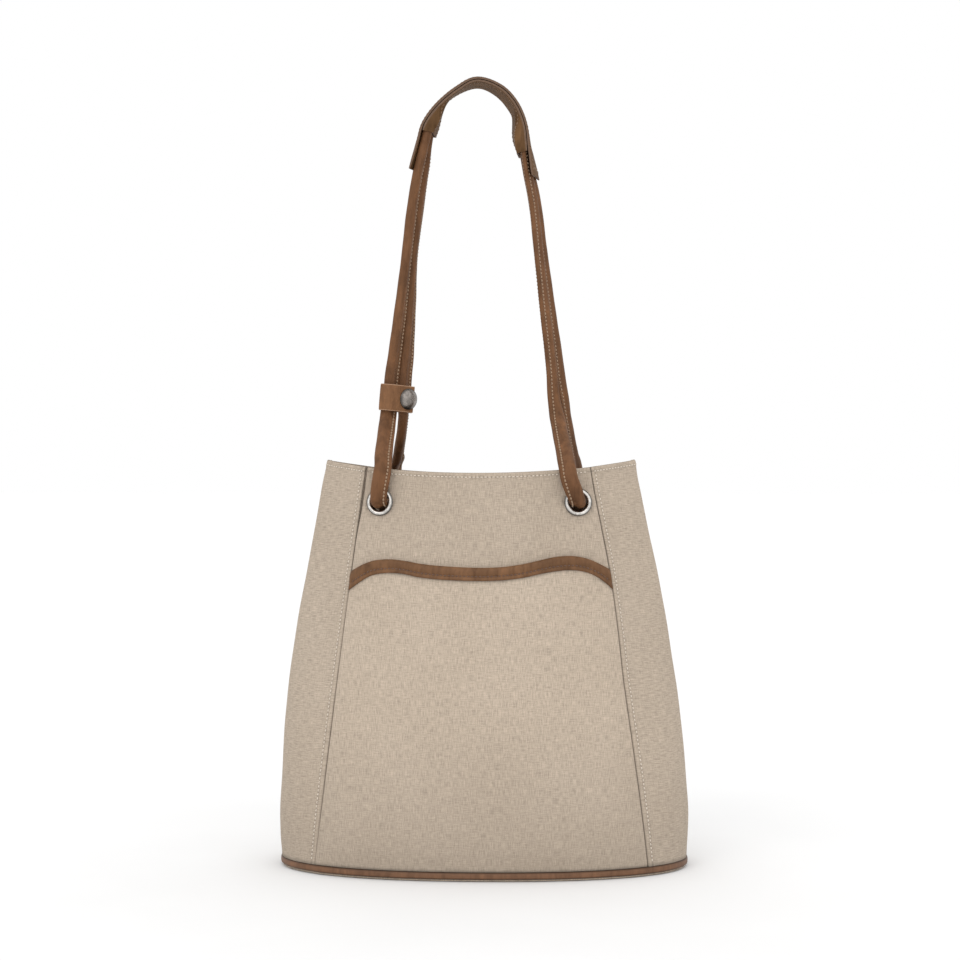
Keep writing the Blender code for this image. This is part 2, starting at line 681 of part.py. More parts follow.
def make_keeper(keeper, flap):
    facing = Vector((math.sin(SNAP_TURN), -math.cos(SNAP_TURN)))
    tab = Vector((math.cos(SNAP_TURN), math.sin(SNAP_TURN)))
    layer = KEEPER_LEATHER + SNAP_LAYER_GAP
    under = SNAP_POINT - facing * layer
    outer = [(-10.9, -11.6), (-9.4, -13.2), (-6.0, -14.0), (-2.8, -13.4),
             tuple(SNAP_POINT - tab * 7.6), tuple(SNAP_POINT), tuple(SNAP_POINT + tab * 5.0)]
    inner = [(-11.1, -10.2), (-11.2, -6.0), (-9.8, 1.0), (-6.5, 8.2), (-1.5, 13.2),
             (4.0, 14.4), (8.6, 11.8), (10.0, 7.0), (8.7, 2.6), tuple(under + tab * 2.4),
             tuple(under), tuple(under - tab * 2.0)]
    leather_flap = band("keeper_flap", outer, 18, flap)
    leather_back = band("keeper_band", inner, 26, keeper)
    axis = (keeper_point(facing) - keeper_point((0, 0))).normalized()
    centre = keeper_point(SNAP_POINT)
    for piece, pivot, depth in ((leather_flap, flap, 0.0), (leather_back, keeper, layer)):
        cut_round_hole(piece, centre - axis * depth, axis, SNAP_HOLE_RADIUS, 3.0, sides=12)
    metal = (METAL_COLOUR, 0.3, 0.95)
    skin = KEEPER_LEATHER / 2
    cap = [(SNAP_POST_RADIUS, -skin), (SNAP_POST_RADIUS, skin + GAP),
           (SNAP_CAP_RADIUS - 0.5, skin + GAP), (SNAP_CAP_RADIUS, skin + GAP + 0.5),
           (6.6, skin + GAP + 1.3), (4.6, skin + GAP + 2.0), (2.0, skin + GAP + 2.4),
           (0.3, skin + GAP + 2.45)]
    turned("snap_cap", cap, centre, axis, metal, flap, steps=16, solid=True)
    top = -(skin + GAP)
    socket = [(2.7, top), (5.2, top), (5.2, top - 0.8), (4.8, top - 1.1), (2.7, top - 1.1)]
    turned("snap_socket", socket, centre, axis, metal, flap, steps=16)
    floor = -(skin + SNAP_LAYER_GAP)
    stud = [(SNAP_POST_RADIUS, floor - KEEPER_LEATHER), (SNAP_POST_RADIUS, floor + GAP),
            (4.2, floor + GAP), (4.2, floor + GAP + 0.5), (1.6, floor + GAP + 0.5),
            (1.7, floor + 1.6), (1.2, floor + 1.85), (0.3, floor + 1.85)]
    turned("snap_stud", stud, centre, axis, metal, keeper, steps=16, solid=True)


def build():
    for old in list(bpy.data.objects):
        bpy.data.objects.remove(old, do_unlink=True)
    eyelets = eyelet_places()
    strap = add_pivot("strap_pivot", Vector((0, 0, FOLD_AXIS_Z)))
    keeper = add_pivot("keeper_pivot", KEEPER_CENTRE, strap)
    flap = add_pivot("keeper_flap_pivot", keeper_point(FLAP_HINGE), keeper)
    make_base()
    make_walls(eyelets)
    make_front_pocket()
    make_eyelets(eyelets)
    make_magnet_snap()
    make_cords(eyelets, strap)
    pad_strip("shoulder_pad_outer", lambda station: PAD_OUTER_OFFSET, PAD_HALF_WIDTH,
              0, PAD_STATIONS, 24, strap)
    pad_strip("shoulder_pad_inner", inner_offset, PAD_HALF_WIDTH - 0.5, *PAD_INNER_ENDS, 20,
              strap)
    make_keeper(keeper, flap)


build()
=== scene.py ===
"""Looks of the bucket bag: woven canvas panels, leather cords, pad, keeper and metal.

Shapes are worked out in millimetres in the CAD's own frame and written to meshes in metres.
"""
import math

import bmesh
import bpy
import numpy as np
from mathutils import Matrix, Vector


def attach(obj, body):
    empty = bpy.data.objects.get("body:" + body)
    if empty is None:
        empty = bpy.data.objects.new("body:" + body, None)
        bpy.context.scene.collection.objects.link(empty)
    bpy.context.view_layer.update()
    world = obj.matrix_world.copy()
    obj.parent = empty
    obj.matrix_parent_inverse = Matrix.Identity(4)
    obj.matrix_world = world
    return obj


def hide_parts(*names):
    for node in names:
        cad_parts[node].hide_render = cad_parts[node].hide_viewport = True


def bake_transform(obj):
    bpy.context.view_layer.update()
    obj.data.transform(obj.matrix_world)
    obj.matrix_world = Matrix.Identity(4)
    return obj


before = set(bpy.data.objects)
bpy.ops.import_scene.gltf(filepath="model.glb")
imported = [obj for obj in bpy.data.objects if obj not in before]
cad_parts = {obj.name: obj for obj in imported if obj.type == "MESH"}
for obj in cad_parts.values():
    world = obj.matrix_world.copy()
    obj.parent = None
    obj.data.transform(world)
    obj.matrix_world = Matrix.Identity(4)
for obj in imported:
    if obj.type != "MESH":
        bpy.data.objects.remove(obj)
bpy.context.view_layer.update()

MM = 0.001
UV_SCALE = 0.01                       # one UV unit is 100 mm of cloth or leather

# ---- the bag's shape, as in the CAD
HALF_WIDTH = [(0, 143.0), (45, 144.2), (125, 138.1), (200, 126.1), (286, 109.5)]
HALF_DEPTH = [(0, 73.5), (40, 74.0), (125, 64.0), (200, 50.5), (286, 36.0)]
BASE_ROUNDNESS = 2.2
SEAM_X_BASE, SEAM_X_SLOPE, SEAM_X_CURVE = 115.3, 0.115, 0.00007
LEFT_SEAM_PULL = [(0, -1.0), (40, -0.2), (80, 0.0), (225, 0.0), (255, 1.1), (286, 1.1)]
RIGHT_SEAM_PULL = [(0, -0.4), (40, 0.0), (100, 0.6), (135, 1.1), (165, 2.6), (206, 3.7),
                   (235, 3.0), (262, 2.0), (286, 1.5)]
SEAM_Y_MOUTH = 32.0
SHAPE_CHANGE_TOP = 250.0
MOUTH_CORNER_Z, MOUTH_SEAM_Z, MOUTH_DIP = 286.0, 280.4, 4.0
MOUTH_CORNER_SOFTNESS = 0.15
SET_HEIGHT, SET_TWIST, SET_LEAN = 285.0, math.radians(3.0), -2.5
FRONT_BOW = 1.06                      # length of a front section against its straight width
GUSSET_LENGTH, GUSSET_NARROWING = 108.0, 16.0     # of a gusset at its base, and up to its mouth

WALL_BOTTOM = 6.4
SEAM_STITCH_INSET = 3.0               # the gussets' stitch rows stand this far in from the seams
HEM_STITCH_DROP = 3.1                 # and the mouth's row this far below its edge
PANEL_GAP = 0.0012                    # share of a panel left open along each seam
FACING_BOTTOM = 236.0
CANVAS = 1.2
FACING_DEPTH = (1.3, 2.7)
LINING_DEPTH = (2.7, 3.5)
SLIP_POCKET_DEPTH = (4.6, 5.4)
BEHIND_POCKET = 1.3                   # how far the front panel is pressed in by the pocket
BINDING_HEIGHT, BINDING_STITCH_LINE = 9.2, 3.0    # of its profile, and its stitches' row on it
PIPING_LOW, PIPING_HIGH = 1.5, 6.1
POCKET_CLOTH = 1.1
POCKET_EDGE = [(-1.0, 207.9), (-0.91, 212.3), (-0.82, 215.4), (-0.69, 216.5), (-0.57, 215.6),
               (-0.45, 213.8), (-0.29, 212.3), (-0.06, 211.3), (0.15, 211.5), (0.32, 213.4),
               (0.47, 216.3), (0.58, 218.4), (0.69, 219.2), (0.78, 218.5), (0.86, 216.4),
               (0.935, 213.0), (1.0, 209.8)]
BINDING_EDGE = [(-1.0, 194.4), (-0.91, 200.1), (-0.82, 205.0), (-0.69, 207.2), (-0.57, 206.7),
                (-0.45, 204.6), (-0.29, 203.1), (-0.06, 202.3), (0.15, 202.6), (0.32, 204.2),
                (0.47, 207.1), (0.60, 209.0), (0.72, 209.4), (0.82, 207.6), (0.90, 203.8),
                (0.96, 199.3), (1.0, 195.6)]
INNER_POCKET_Z, INNER_POCKET_S = (72.0, 188.0), (0.2, 0.8)
EYELET_X, EYELET_Z = 68.4, 256.0
MAGNET_Z = 258.0
CLOTH_HOLE_RADIUS = 7.6               # holes the eyelets are set through
LOOP_SAG = 4.0                        # how far each cord sags across the inside of the bag

CORD_SPACING = 6.2
BEND_LOW, BEND_HIGH = 288.0, 315.0
LEFT_LEG = [(-60.7, 345, 42), (-58.7, 362, 38), (-55.3, 396, 26), (-52.4, 430, 16),
            (-48.3, 464, 17), (-44.9, 487, 15), (-42.6, 498.6, 12), (-40.9, 510, 5),
            (-38.8, 520.5, 0)]
RIGHT_LEG = [(50.7, 345, 26), (48.7, 362, 23), (44.3, 396, 19), (40.1, 430, 14),
             (36.3, 464, 11), (32.5, 485, 9), (28.4, 505, 2), (26.9, 511, -1)]
UPPER_STARTS = {"front_left": [(-67.6, -8.6, 315, 66), (-66.2, -4.8, 330, 46)],
                "back_left": [(-57.4, 7.0, 315, 13), (-57.1, 4.6, 330, 34)],
                "front_right": [(52.0, -9.0, 315, 48), (49.2, -5.4, 330, 32)],
                "back_right": [(58.2, 7.5, 315, 16), (56.0, 5.0, 330, 24)]}
STUB_TOPS = {"front_left": (-69.0, -31.0, 86), "back_left": (-63.0, 31.0, 13),
             "front_right": (57.5, -35.5, 70), "back_right": (63.6, 27.5, 16)}
MOUTH_EDGE_X = {"front_left": -68.9, "back_left": -65.6,   # where each cord passes the mouth
                "front_right": 58.7, "back_right": 65.5}
WAY_OUT = ((-14.0, -2.6, 0.0, 0.0), (-6.0, -1.5, 0.0, 0.0), (0.2, -1.2, 0.02, 0.0),
           (5.4, 1.2, 0.15, 0.0), (7.6, 8.2, 0.5, 0.2), (7.4, 16.0, 0.85, 0.55),
           (4.6, 25.0, 1.0, 0.85))
PAD_LINE = [(-44.4, 490, 15), (-42.6, 498.6, 12), (-40.9, 510, 5), (-38.6, 521.3, 0),
            (-30.8, 533.4, -5), (-18.6, 544.4, -10), (-4.8, 550.2, -3), (8.8, 545.0, -8),
            (18.3, 534.4, -9), (24.4, 520.5, -7), (28.4, 505, 2), (32.5, 485, 9)]
PAD_DRAWN_IN = 1.0     # share of the strips' parting below which the edges draw in further
PAD_HALF_WIDTH, PAD_HALF_LEATHER, PAD_STITCH_INSET = 14.0, 0.85, 2.4
PAD_OUTER_OFFSET, PAD_INNER_OFFSET, PAD_APART_OFFSET = 4.35, 2.15, -4.5
PAD_INNER_SPAN, PAD_CORD_SPAN, PAD_CLOSING = (14 / 80, 71 / 80), (17 / 80, 66 / 80), 13 / 80

KEEPER_CENTRE = Vector((-61.5, 0.0, 329.3))
KEEPER_AXIS = Vector((0.084, 0.0, 1.0)).normalized()
KEEPER_HALF_HEIGHT, KEEPER_LEATHER = 9.3, 1.5
SNAP_POINT = Vector((7.6, -5.0))
SNAP_TURN = math.radians(42.0)
SNAP_LAYER_GAP = 2.6


# ---- small maths
def smoothstep(t):
    t = np.clip(t, 0.0, 1.0)
    return t * t * (3 - 2 * t)


def curve(points, at):
    """Smooth curve through given (position, value) points, read at many positions."""
    xs, ys = np.array(points, float).T
    slopes = np.empty_like(ys)
    slopes[1:-1] = (ys[2:] - ys[:-2]) / (xs[2:] - xs[:-2])
    slopes[0] = (ys[1] - ys[0]) / (xs[1] - xs[0])
    slopes[-1] = (ys[-1] - ys[-2]) / (xs[-1] - xs[-2])
    at = np.clip(at, xs[0], xs[-1])
    k = np.clip(np.searchsorted(xs, at, side="left") - 1, 0, len(xs) - 2)
    span = xs[k + 1] - xs[k]
    t = (at - xs[k]) / span
    value = (2 * t ** 3 - 3 * t ** 2 + 1) * ys[k] + (3 * t ** 2 - 2 * t ** 3) * ys[k + 1]
    bend = (t ** 3 - 2 * t ** 2 + t) * slopes[k] + (t ** 3 - t ** 2) * slopes[k + 1]
    return value + span * bend


def run_along(points):
    """Distance along a line of points to each of them."""
    steps = np.linalg.norm(np.diff(points, axis=0), axis=1)
    return np.concatenate([[0], np.cumsum(steps)])


def unit(vectors):
    return vectors / np.linalg.norm(vectors, axis=1)[:, None]


def squared_to(ahead, vectors):
    """Unit vectors turned square to the directions ahead."""
    return unit(vectors - ahead * (vectors * ahead).sum(1)[:, None])


def bump_at(distance, width):
    """A soft ridge: 1 at distance 0, fading over width."""
    return np.exp(-(distance / width) ** 2)


def seam_x(z):
    return SEAM_X_BASE - SEAM_X_SLOPE * z - SEAM_X_CURVE * z * z


def front_point(s, z):
    across = 2 * s - 1
    x = across * seam_x(z)
    depth = curve(HALF_DEPTH, z)
    share = np.clip(np.abs(x) / curve(HALF_WIDTH, z), 0, 1)
    oval = depth * (1 - share ** BASE_ROUNDNESS) ** (1 / BASE_ROUNDNESS)
    flat = SEAM_Y_MOUTH + (depth - SEAM_Y_MOUTH) * (1 - across ** 2)
    change = smoothstep(z / SHAPE_CHANGE_TOP)
    return x, -(oval * (1 - change) + flat * change)


def gusset_point(s, z):
    width = curve(HALF_WIDTH, z)
    depth = curve(HALF_DEPTH, z)
    power = 2 / BASE_ROUNDNESS
    widest = np.arccos((seam_x(z) / width) ** (1 / power))
    angle = widest * (2 * s - 1)
    round_x = width * np.cos(angle) ** power
    round_y = depth * np.abs(np.sin(angle)) ** power * np.sign(angle)
    soft = MOUTH_CORNER_SOFTNESS
    away = (np.hypot(2 * s - 1, soft) - soft) / (math.hypot(1, soft) - soft)
    flat_x = width - (width - seam_x(z)) * away
    flat_y = SEAM_Y_MOUTH * (2 * s - 1)
    change = smoothstep(z / SHAPE_CHANGE_TOP)
    return round_x * (1 - change) + flat_x * change, round_y * (1 - change) + flat_y * change


def round_point(u, z):
    """Outer face all the way round: 0-1 front, 1-2 right gusset, 2-3 back, 3-4 left."""
    u = np.asarray(u, float) % 4
    side = np.floor(u)
    fx, fy = front_point(u - side, z)
    gx, gy = gusset_point(u - side, z)
    on_gusset = side % 2 == 1
    x = np.where(on_gusset, gx, fx)
    y = np.where(on_gusset, gy, fy)
    left = curve(LEFT_SEAM_PULL, z) * smoothstep(1 - u)
    right = curve(RIGHT_SEAM_PULL, z) * smoothstep(np.where(side == 0, u, 3 - 2 * u))
    return (np.where(side < 2, x + left + right, -x), np.where(side < 2, y, -y))


def wall(u, z, depth):
    """Points of the wall, depth millimetres inside its outer face, settled as the bag is."""
    u, z, depth = np.broadcast_arrays(np.asarray(u, float), np.asarray(z, float),
                                      np.asarray(depth, float))
    x, y = round_point(u, z)
    x0, y0 = round_point(u - 0.03, z)
    x1, y1 = round_point(u + 0.03, z)
    length = np.hypot(x1 - x0, y1 - y0)
    x = x - (y1 - y0) / length * depth
    y = y - (x0 - x1) / length * depth
    share = smoothstep(z / SET_HEIGHT)
    turn = SET_TWIST * share
    return np.stack([x * np.cos(turn) + y * np.sin(turn) + SET_LEAN * share,
                     y * np.cos(turn) - x * np.sin(turn), z], -1)


def wall_row(u, z, stand):
    """A row of points standing off the wall's outer face, and the ways out of it there."""
    line = wall(u, z, -stand)
    return line, wall(u, z, -stand - 1.0) - line


def mouth_height(u):
    u = np.asarray(u, float) % 4
    side = np.floor(u)
    across = 2 * (u - side) - 1
    gusset = MOUTH_CORNER_Z - (MOUTH_CORNER_Z - MOUTH_SEAM_Z) * np.abs(across)
    return np.where(side % 2 == 1, gusset, MOUTH_SEAM_Z - MOUTH_DIP * (1 - across ** 2))


def side_length(side, z):
    """Length of a front or gusset section, for turning s into millimetres."""
    if side % 2 == 0:
        return 2 * seam_x(z) * FRONT_BOW
    return GUSSET_LENGTH - GUSSET_NARROWING * smoothstep(z / SHAPE_CHANGE_TOP)


def seam_distance(side, s, z):
    """Millimetres to the nearer seam of a front or gusset section."""
    return np.minimum(s, 1 - s) * side_length(side, z)


def pocket_edge(s):
    return curve(POCKET_EDGE, 2 * np.asarray(s, float) - 1)


def binding_edge(s):
    return curve(BINDING_EDGE, 2 * np.asarray(s, float) - 1)


# ---- making meshes
# Thread, pitch of the stitches, their length, their radius and how far they stand up.
STITCHES = {"seam": ("seam_thread", 2.75, 1.75, 0.42, 0.08),
            "mouth": ("seam_thread", 2.75, 1.75, 0.38, 0.08),
            "facing": ("seam_thread", 2.75, 2.1, 0.22, 0.04),
            "binding": ("binding_thread", 2.7, 1.8, 0.45, 0.06),
            "cord": ("cord_thread", 2.6, 1.9, 0.60, 0.05),
            "pad": ("leather_thread", 3.0, 2.0, 0.27, 0.02)}


def paint(piece, *looks):
    for look in looks:
        piece.data.materials.append(look)


def add_object(name, data):
    made = bpy.data.objects.new(name, data)
    bpy.context.collection.objects.link(made)
    return made


def fit(piece, looks, nodes, body=None):
    """Give a piece its materials by name, hide the CAD parts that it stands in for, and attach it
    to its body.
    """
    paint(piece, *(materials[look] for look in looks))
    if nodes:
        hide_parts(*nodes)
    if body:
        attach(piece, body)


def add_mesh(name, points, faces, uv=None, face_material=None, sharp=40, shade=None):
    """One object from points in millimetres; uv is one pair and shade, its painted shade, one
    value per point.
    """
    mesh = bpy.data.meshes.new(name)
    mesh.from_pydata((np.asarray(points) * MM).tolist(), [], faces)
    if uv is not None:
        layer = mesh.uv_layers.new(name="UVMap")
        corner = np.empty(len(mesh.loops), np.int32)
        mesh.loops.foreach_get("vertex_index", corner)
        layer.data.foreach_set("uv", (np.asarray(uv)[corner] * UV_SCALE).ravel())
    if face_material is not None:
        mesh.polygons.foreach_set("material_index", np.asarray(face_material, np.int32))
    if shade is not None:
        # Stored painted shade: the materials darken the colour where it is high.
        stored_painted_shade = mesh.attributes.new("shade", "FLOAT", "POINT")
        stored_painted_shade.data.foreach_set("value", np.asarray(shade, np.float32))
    shape = bmesh.new()
    shape.from_mesh(mesh)
    bmesh.ops.recalc_face_normals(shape, faces=shape.faces)
    shape.to_mesh(mesh)
    shape.free()
    mesh.shade_smooth()
    mesh.set_sharp_from_angle(angle=math.radians(sharp))
    return add_object(name, mesh)


def slab(name, outer, inner, uv, shade=None):
    """Closed sheet between two matching grids of points (rows, columns, 3)."""
    rows, columns = outer.shape[:2]
    index = np.arange(rows * columns).reshape(rows, columns)
    quads = np.stack([index[:-1, :-1], index[:-1, 1:], index[1:, 1:], index[1:, :-1]], -1)
    quads = quads.reshape(-1, 4)
    back = rows * columns
    rim = np.concatenate([index[0, :], index[1:, -1], index[-1, -2::-1], index[-2:0:-1, 0]])
    ahead = np.roll(rim, -1)
    sides = np.stack([ahead, rim, back + rim, back + ahead], -1)
    faces = np.concatenate([quads, back + quads[:, ::-1], sides]).tolist()
    points = np.concatenate([outer.reshape(-1, 3), inner.reshape(-1, 3)])
    flat = uv.reshape(-1, 2)
    if shade is not None:
        shade = np.concatenate([shade.ravel(), 0.5 * shade.ravel()])
    return add_mesh(name, points, faces, np.concatenate([flat, flat]), shade=shade)


def sleeve(name, rings, sharp, closed=False, side_material=None, shade=None, flat=False):
    """Solid through matching outlines (count, sides, 3); its UVs run around and along it,
    or are laid straight down on a flat one."""
    rings = np.asarray(rings, float)
    count, sides = rings.shape[:2]
    index = np.arange(count * sides).reshape(count, sides)
    ahead = np.roll(index, -1, 0) if closed else index[1:]
    here = index if closed else index[:-1]
    quads = np.stack([here, np.roll(here, -1, 1), np.roll(ahead, -1, 1), ahead], -1)
    faces = quads.reshape(-1, 4).tolist()
    picked = None
    if side_material is not None:
        picked = np.tile(side_material, quads.shape[0]).tolist()
    if not closed:
        faces.append(index[0, ::-1].tolist())
        faces.append(index[-1].tolist())
        if picked is not None:
            picked += [max(side_material)] * 2
    edges = np.linalg.norm(np.roll(rings, -1, 1) - rings, axis=2).mean(0)
    around = np.concatenate([[0], np.cumsum(edges)[:-1]])
    uv = np.stack(np.meshgrid(around, run_along(rings.mean(1))), -1)
    if flat:
        uv = rings[..., :2]
    return add_mesh(name, rings.reshape(-1, 3), faces, uv.reshape(-1, 2), picked, sharp, shade)


def rounded(corners, radius, steps):
    """Outline through corner points with each corner rounded off."""
    made = []
    count = len(corners)
    for i, here in enumerate(corners):
        here = np.array(here, float)
        before = np.array(corners[i - 1], float) - here
        after = np.array(corners[(i + 1) % count], float) - here
        cut = min(radius, 0.45 * np.linalg.norm(before), 0.45 * np.linalg.norm(after))
        a = here + before / np.linalg.norm(before) * cut
        b = here + after / np.linalg.norm(after) * cut
        for k in range(steps + 1):
            t = k / steps
            made.append((1 - t) ** 2 * a + 2 * t * (1 - t) * here + t * t * b)
    return np.array(made)


def stitches(name, points, normals, kind, body="root"):
    """A row of separate thread stitches along a line of points on a surface."""
    look, pitch, length, radius, lift = STITCHES[kind]
    points = np.asarray(points, float)
    reach = run_along(points)
    count = max(2, round(reach[-1] / pitch))
    at = (np.arange(count) + 0.5) * reach[-1] / count

    def read(line, at):
        return np.stack([np.interp(at, reach, line[:, k]) for k in range(3)], -1)

    centre, near = read(points, at), 0.4
    ahead = unit(read(points, at + near) - read(points, at - near))
    normal = squared_to(ahead, read(np.asarray(normals), at))
    across = np.cross(normal, ahead)
    sides, slices = 6, ((-0.5, 0.45), (-0.36, 0.9), (0.0, 1.0), (0.36, 0.9), (0.5, 0.45))
    spin = np.arange(sides) * 2 * math.pi / sides
    spokes = (across[:, None] * np.cos(spin)[:, None] + normal[:, None] * np.sin(spin)[:, None])
    made = []
    for share, fat in slices:
        arch = lift + radius * 0.7 * (1 - (2 * share) ** 2) - 0.25 * (2 * share) ** 4
        spot = centre + ahead * share * length + normal * arch
        made.append(spot[:, None] + spokes * radius * fat)
    turn = [(i, (i + 1) % sides) for i in range(sides)]
    last = (len(slices) - 1) * sides
    stitch = [(p + i, p + j, p + sides + j, p + sides + i)
              for p in range(0, last, sides) for i, j in turn]
    stitch += [tuple(range(sides))[::-1], tuple(range(last, last + sides))]
    faces = [[base + i for i in face]
             for base in range(0, count * (last + sides), last + sides) for face in stitch]
    row = add_mesh(name, np.stack(made, 1).reshape(-1, 3), faces, sharp=180)
    paint(row, materials[look])
    if body:
        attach(row, body)
    return row


def punched(piece, places, radius):
    """Cut round holes through a cloth piece at (centre, axis) places."""
    shape = bmesh.new()
    for centre, axis in places:
        spin = axis.to_track_quat("Z", "Y").to_matrix().to_4x4()
        bmesh.ops.create_cone(shape, cap_ends=True, segments=40, radius1=radius * MM,
                              radius2=radius * MM, depth=0.016,
                              matrix=Matrix.Translation(centre * MM) @ spin)
    mesh = bpy.data.meshes.new("punch")
    shape.to_mesh(mesh)
    shape.free()
    cutter = add_object("punch", mesh)
    cut = piece.modifiers.new("punch", "BOOLEAN")
    cut.object = cutter
    cut.solver = "EXACT"
    cut.operation = "DIFFERENCE"
    ready = piece.evaluated_get(bpy.context.evaluated_depsgraph_get())
    done = bpy.data.meshes.new_from_object(ready)
    piece.modifiers.clear()
    old = piece.data
    piece.data = done
    bpy.data.meshes.remove(old)
    bpy.data.objects.remove(cutter)


# ---- materials
class Shader:
    """A material being wired up: short calls for the nodes it needs."""

    def __init__(self, name, roughness, metallic=0.0):
        self.material = bpy.data.materials.new(name)
        self.material.use_nodes = True
        self.tree = self.material.node_tree
        self.surface = self.tree.nodes["Principled BSDF"]
        self.surface.inputs["Roughness"].default_value = roughness
        self.surface.inputs["Metallic"].default_value = metallic
        coordinates = self.node("TexCoord")
        self.uv = coordinates.outputs["UV"]
        self.place = coordinates.outputs["Object"]

    def fill(self, socket, value):
        """Give a socket a number, a tuple of numbers or another node's output."""
        if isinstance(value, (int, float, tuple)):
            socket.default_value = value
        else:
            self.tree.links.new(value, socket)

    def node(self, kind, **inputs):
        """A new node with its named inputs filled."""
        made = self.tree.nodes.new("ShaderNode" + kind)
        for name, value in inputs.items():
            self.fill(made.inputs[name], value)
        return made

    def math(self, operation, a, b=0.0):
        made = self.node("Math")
        made.operation = operation
        self.fill(made.inputs[0], a)
        self.fill(made.inputs[1], b)
        return made.outputs[0]

    def times(self, a, b):
        return self.math("MULTIPLY", a, b)

    def plus(self, a, b):
        return self.math("ADD", a, b)

    def scaled(self, source, *scale):
        return self.node("Mapping", Vector=source, Scale=scale).outputs[0]

    def noise(self, source, scale, detail=3.0, rough=0.5, distortion=0.0):
        made = self.node("TexNoise", Vector=source, Scale=scale, Detail=detail, Roughness=rough,
                         Distortion=distortion)
        return made.outputs["Fac"]

    def cloth_noise(self, level, upright, detail=2.0, rough=0.6):
        """Noise over the cloth by how fast it changes per millimetre, level and upright."""
        source = self.scaled(self.uv, level / UV_SCALE, upright / UV_SCALE, 1)
        return self.noise(source, 1.0, detail, rough)

    def cells(self, source, scale, feature="F1"):
        made = self.node("TexVoronoi", Vector=source, Scale=scale)
        made.feature = feature
        return made.outputs["Distance"]

    def ramp(self, value, *stops):
        """Colours by value, each stop a position and the colour there."""
        made = self.node("ValToRGB")
        elements = made.color_ramp.elements
        while len(elements) < len(stops):
            elements.new(0.5)
        for element, (position, colour) in zip(elements, stops):
            element.position = position
            element.color = (*colour, 1.0)
        self.fill(made.inputs[0], value)
        return made.outputs[0]

    def tones(self, value, colour, *stops):
        """Tones of one colour by value, each stop a position and how bright it is there."""
        return self.ramp(value, *((at, scaled_colour(colour, by)) for at, by in stops))

    def mix(self, share, a, b, blend="MIX"):
        made = self.node("Mix")
        made.data_type = "RGBA"
        made.blend_type = blend
        self.fill(made.inputs["Factor"], share)
        for value, socket in ((a, made.inputs[6]), (b, made.inputs[7])):
            self.fill(socket, (*value, 1.0) if isinstance(value, tuple) else value)
        return made.outputs[2]

    def darkened(self, base, colour, by):
        """The base colour, turned to a darker tone where the mesh's stored painted shade says so.
        """
        stored = self.node("Attribute")
        stored.attribute_name = "shade"
        return self.mix(stored.outputs["Fac"], base, scaled_colour(colour, by))

    def bump(self, height, distance, strength):
        made = self.node("Bump", Height=height, Distance=distance, Strength=strength)
        return made.outputs[0]

    def finish(self, colour, normal=None, roughness=None, sheen=0.0):
        self.fill(self.surface.inputs["Base Color"], colour)
        if normal is not None:
            self.fill(self.surface.inputs["Normal"], normal)
        if roughness is not None:
            self.fill(self.surface.inputs["Roughness"], roughness)
        self.surface.inputs["Sheen Weight"].default_value = sheen
        return self.material


def scaled_colour(colour, by):
    return tuple(min(c * by, 1.0) for c in colour)


def canvas_material(name, colour, across=0.5):
    """Plain-woven slubby canvas; across is how much its upright yarns show against its
    level ones."""
    s = Shader(name, 0.9)
    wobble = s.cloth_noise(0.12, 0.12, rough=0.5)
    u, v, _ = s.node("SeparateXYZ", Vector=s.uv).outputs
    sway = s.times(s.math("SUBTRACT", wobble, 0.5), 0.9 * UV_SCALE)
    turn = math.pi / (YARN_PITCH * UV_SCALE)
    warp = s.math("SINE", s.times(s.plus(u, sway), turn))
    weft = s.math("SINE", s.times(s.plus(v, sway), turn))
    over = s.times(warp, weft)
    rounding = s.times(s.math("ABSOLUTE", warp), s.math("ABSOLUTE", weft))
    weave = s.plus(s.times(over, 0.25), s.times(rounding, 0.75))
    weft_slub = s.cloth_noise(0.17, 1.9)
    warp_slub = s.cloth_noise(1.9, 0.17)
    grain = s.cloth_noise(1.5, 1.5, 4.0, 0.65)
    cloudy = s.cloth_noise(0.016, 0.012, 3.0, 0.5)
    slubs = s.plus(s.times(weft_slub, 1 - across), s.times(warp_slub, across))
    base = s.tones(slubs, colour, (0.32, 0.64), (0.5, 1.0), (0.68, 1.30))
    pits = s.ramp(weave, (0.0, (0.80, 0.79, 0.77)), (0.55, (1.02, 1.02, 1.02)))
    base = s.mix(0.8, base, pits, "MULTIPLY")
    specks = s.ramp(grain, (0.34, (0.88, 0.865, 0.845)), (0.52, WHITE), (0.72, (1.05, 1.05, 1.06)))
    base = s.mix(0.5, base, specks, "MULTIPLY")
    clouds = s.ramp(cloudy, (0.35, (0.965, 0.96, 0.952)), (0.65, (1.02, 1.02, 1.02)))
    # The stored painted shade darkens the canvas towards 0.22 of its colour.
    base = s.darkened(s.mix(1.0, base, clouds, "MULTIPLY"), colour, 0.22)
    height = s.plus(s.plus(weave, s.times(slubs, 1.1)), s.times(grain, 0.5))
    return s.finish(base, s.bump(height, 0.0003, 0.6))


def lining_material(name, colour):
    """Light twill lining with a fine diagonal rib."""
    s = Shader(name, 0.8)
    u, v, _ = s.node("SeparateXYZ", Vector=s.uv).outputs
    rib = s.math("SINE", s.times(s.plus(u, v), 2 * math.pi / (RIB_PITCH * UV_SCALE)))
    cloudy = s.noise(s.scaled(s.uv, 3.0, 3.0, 1), 1.0)
    base = s.mix(1.0, s.tones(cloudy, colour, (0.3, 0.9), (0.7, 1.06)),
                 s.tones(rib, WHITE, (0.0, 0.9), (1.0, 1.0)), "MULTIPLY")
    return s.finish(base, s.bump(rib, 0.00008, 0.5), sheen=0.1)


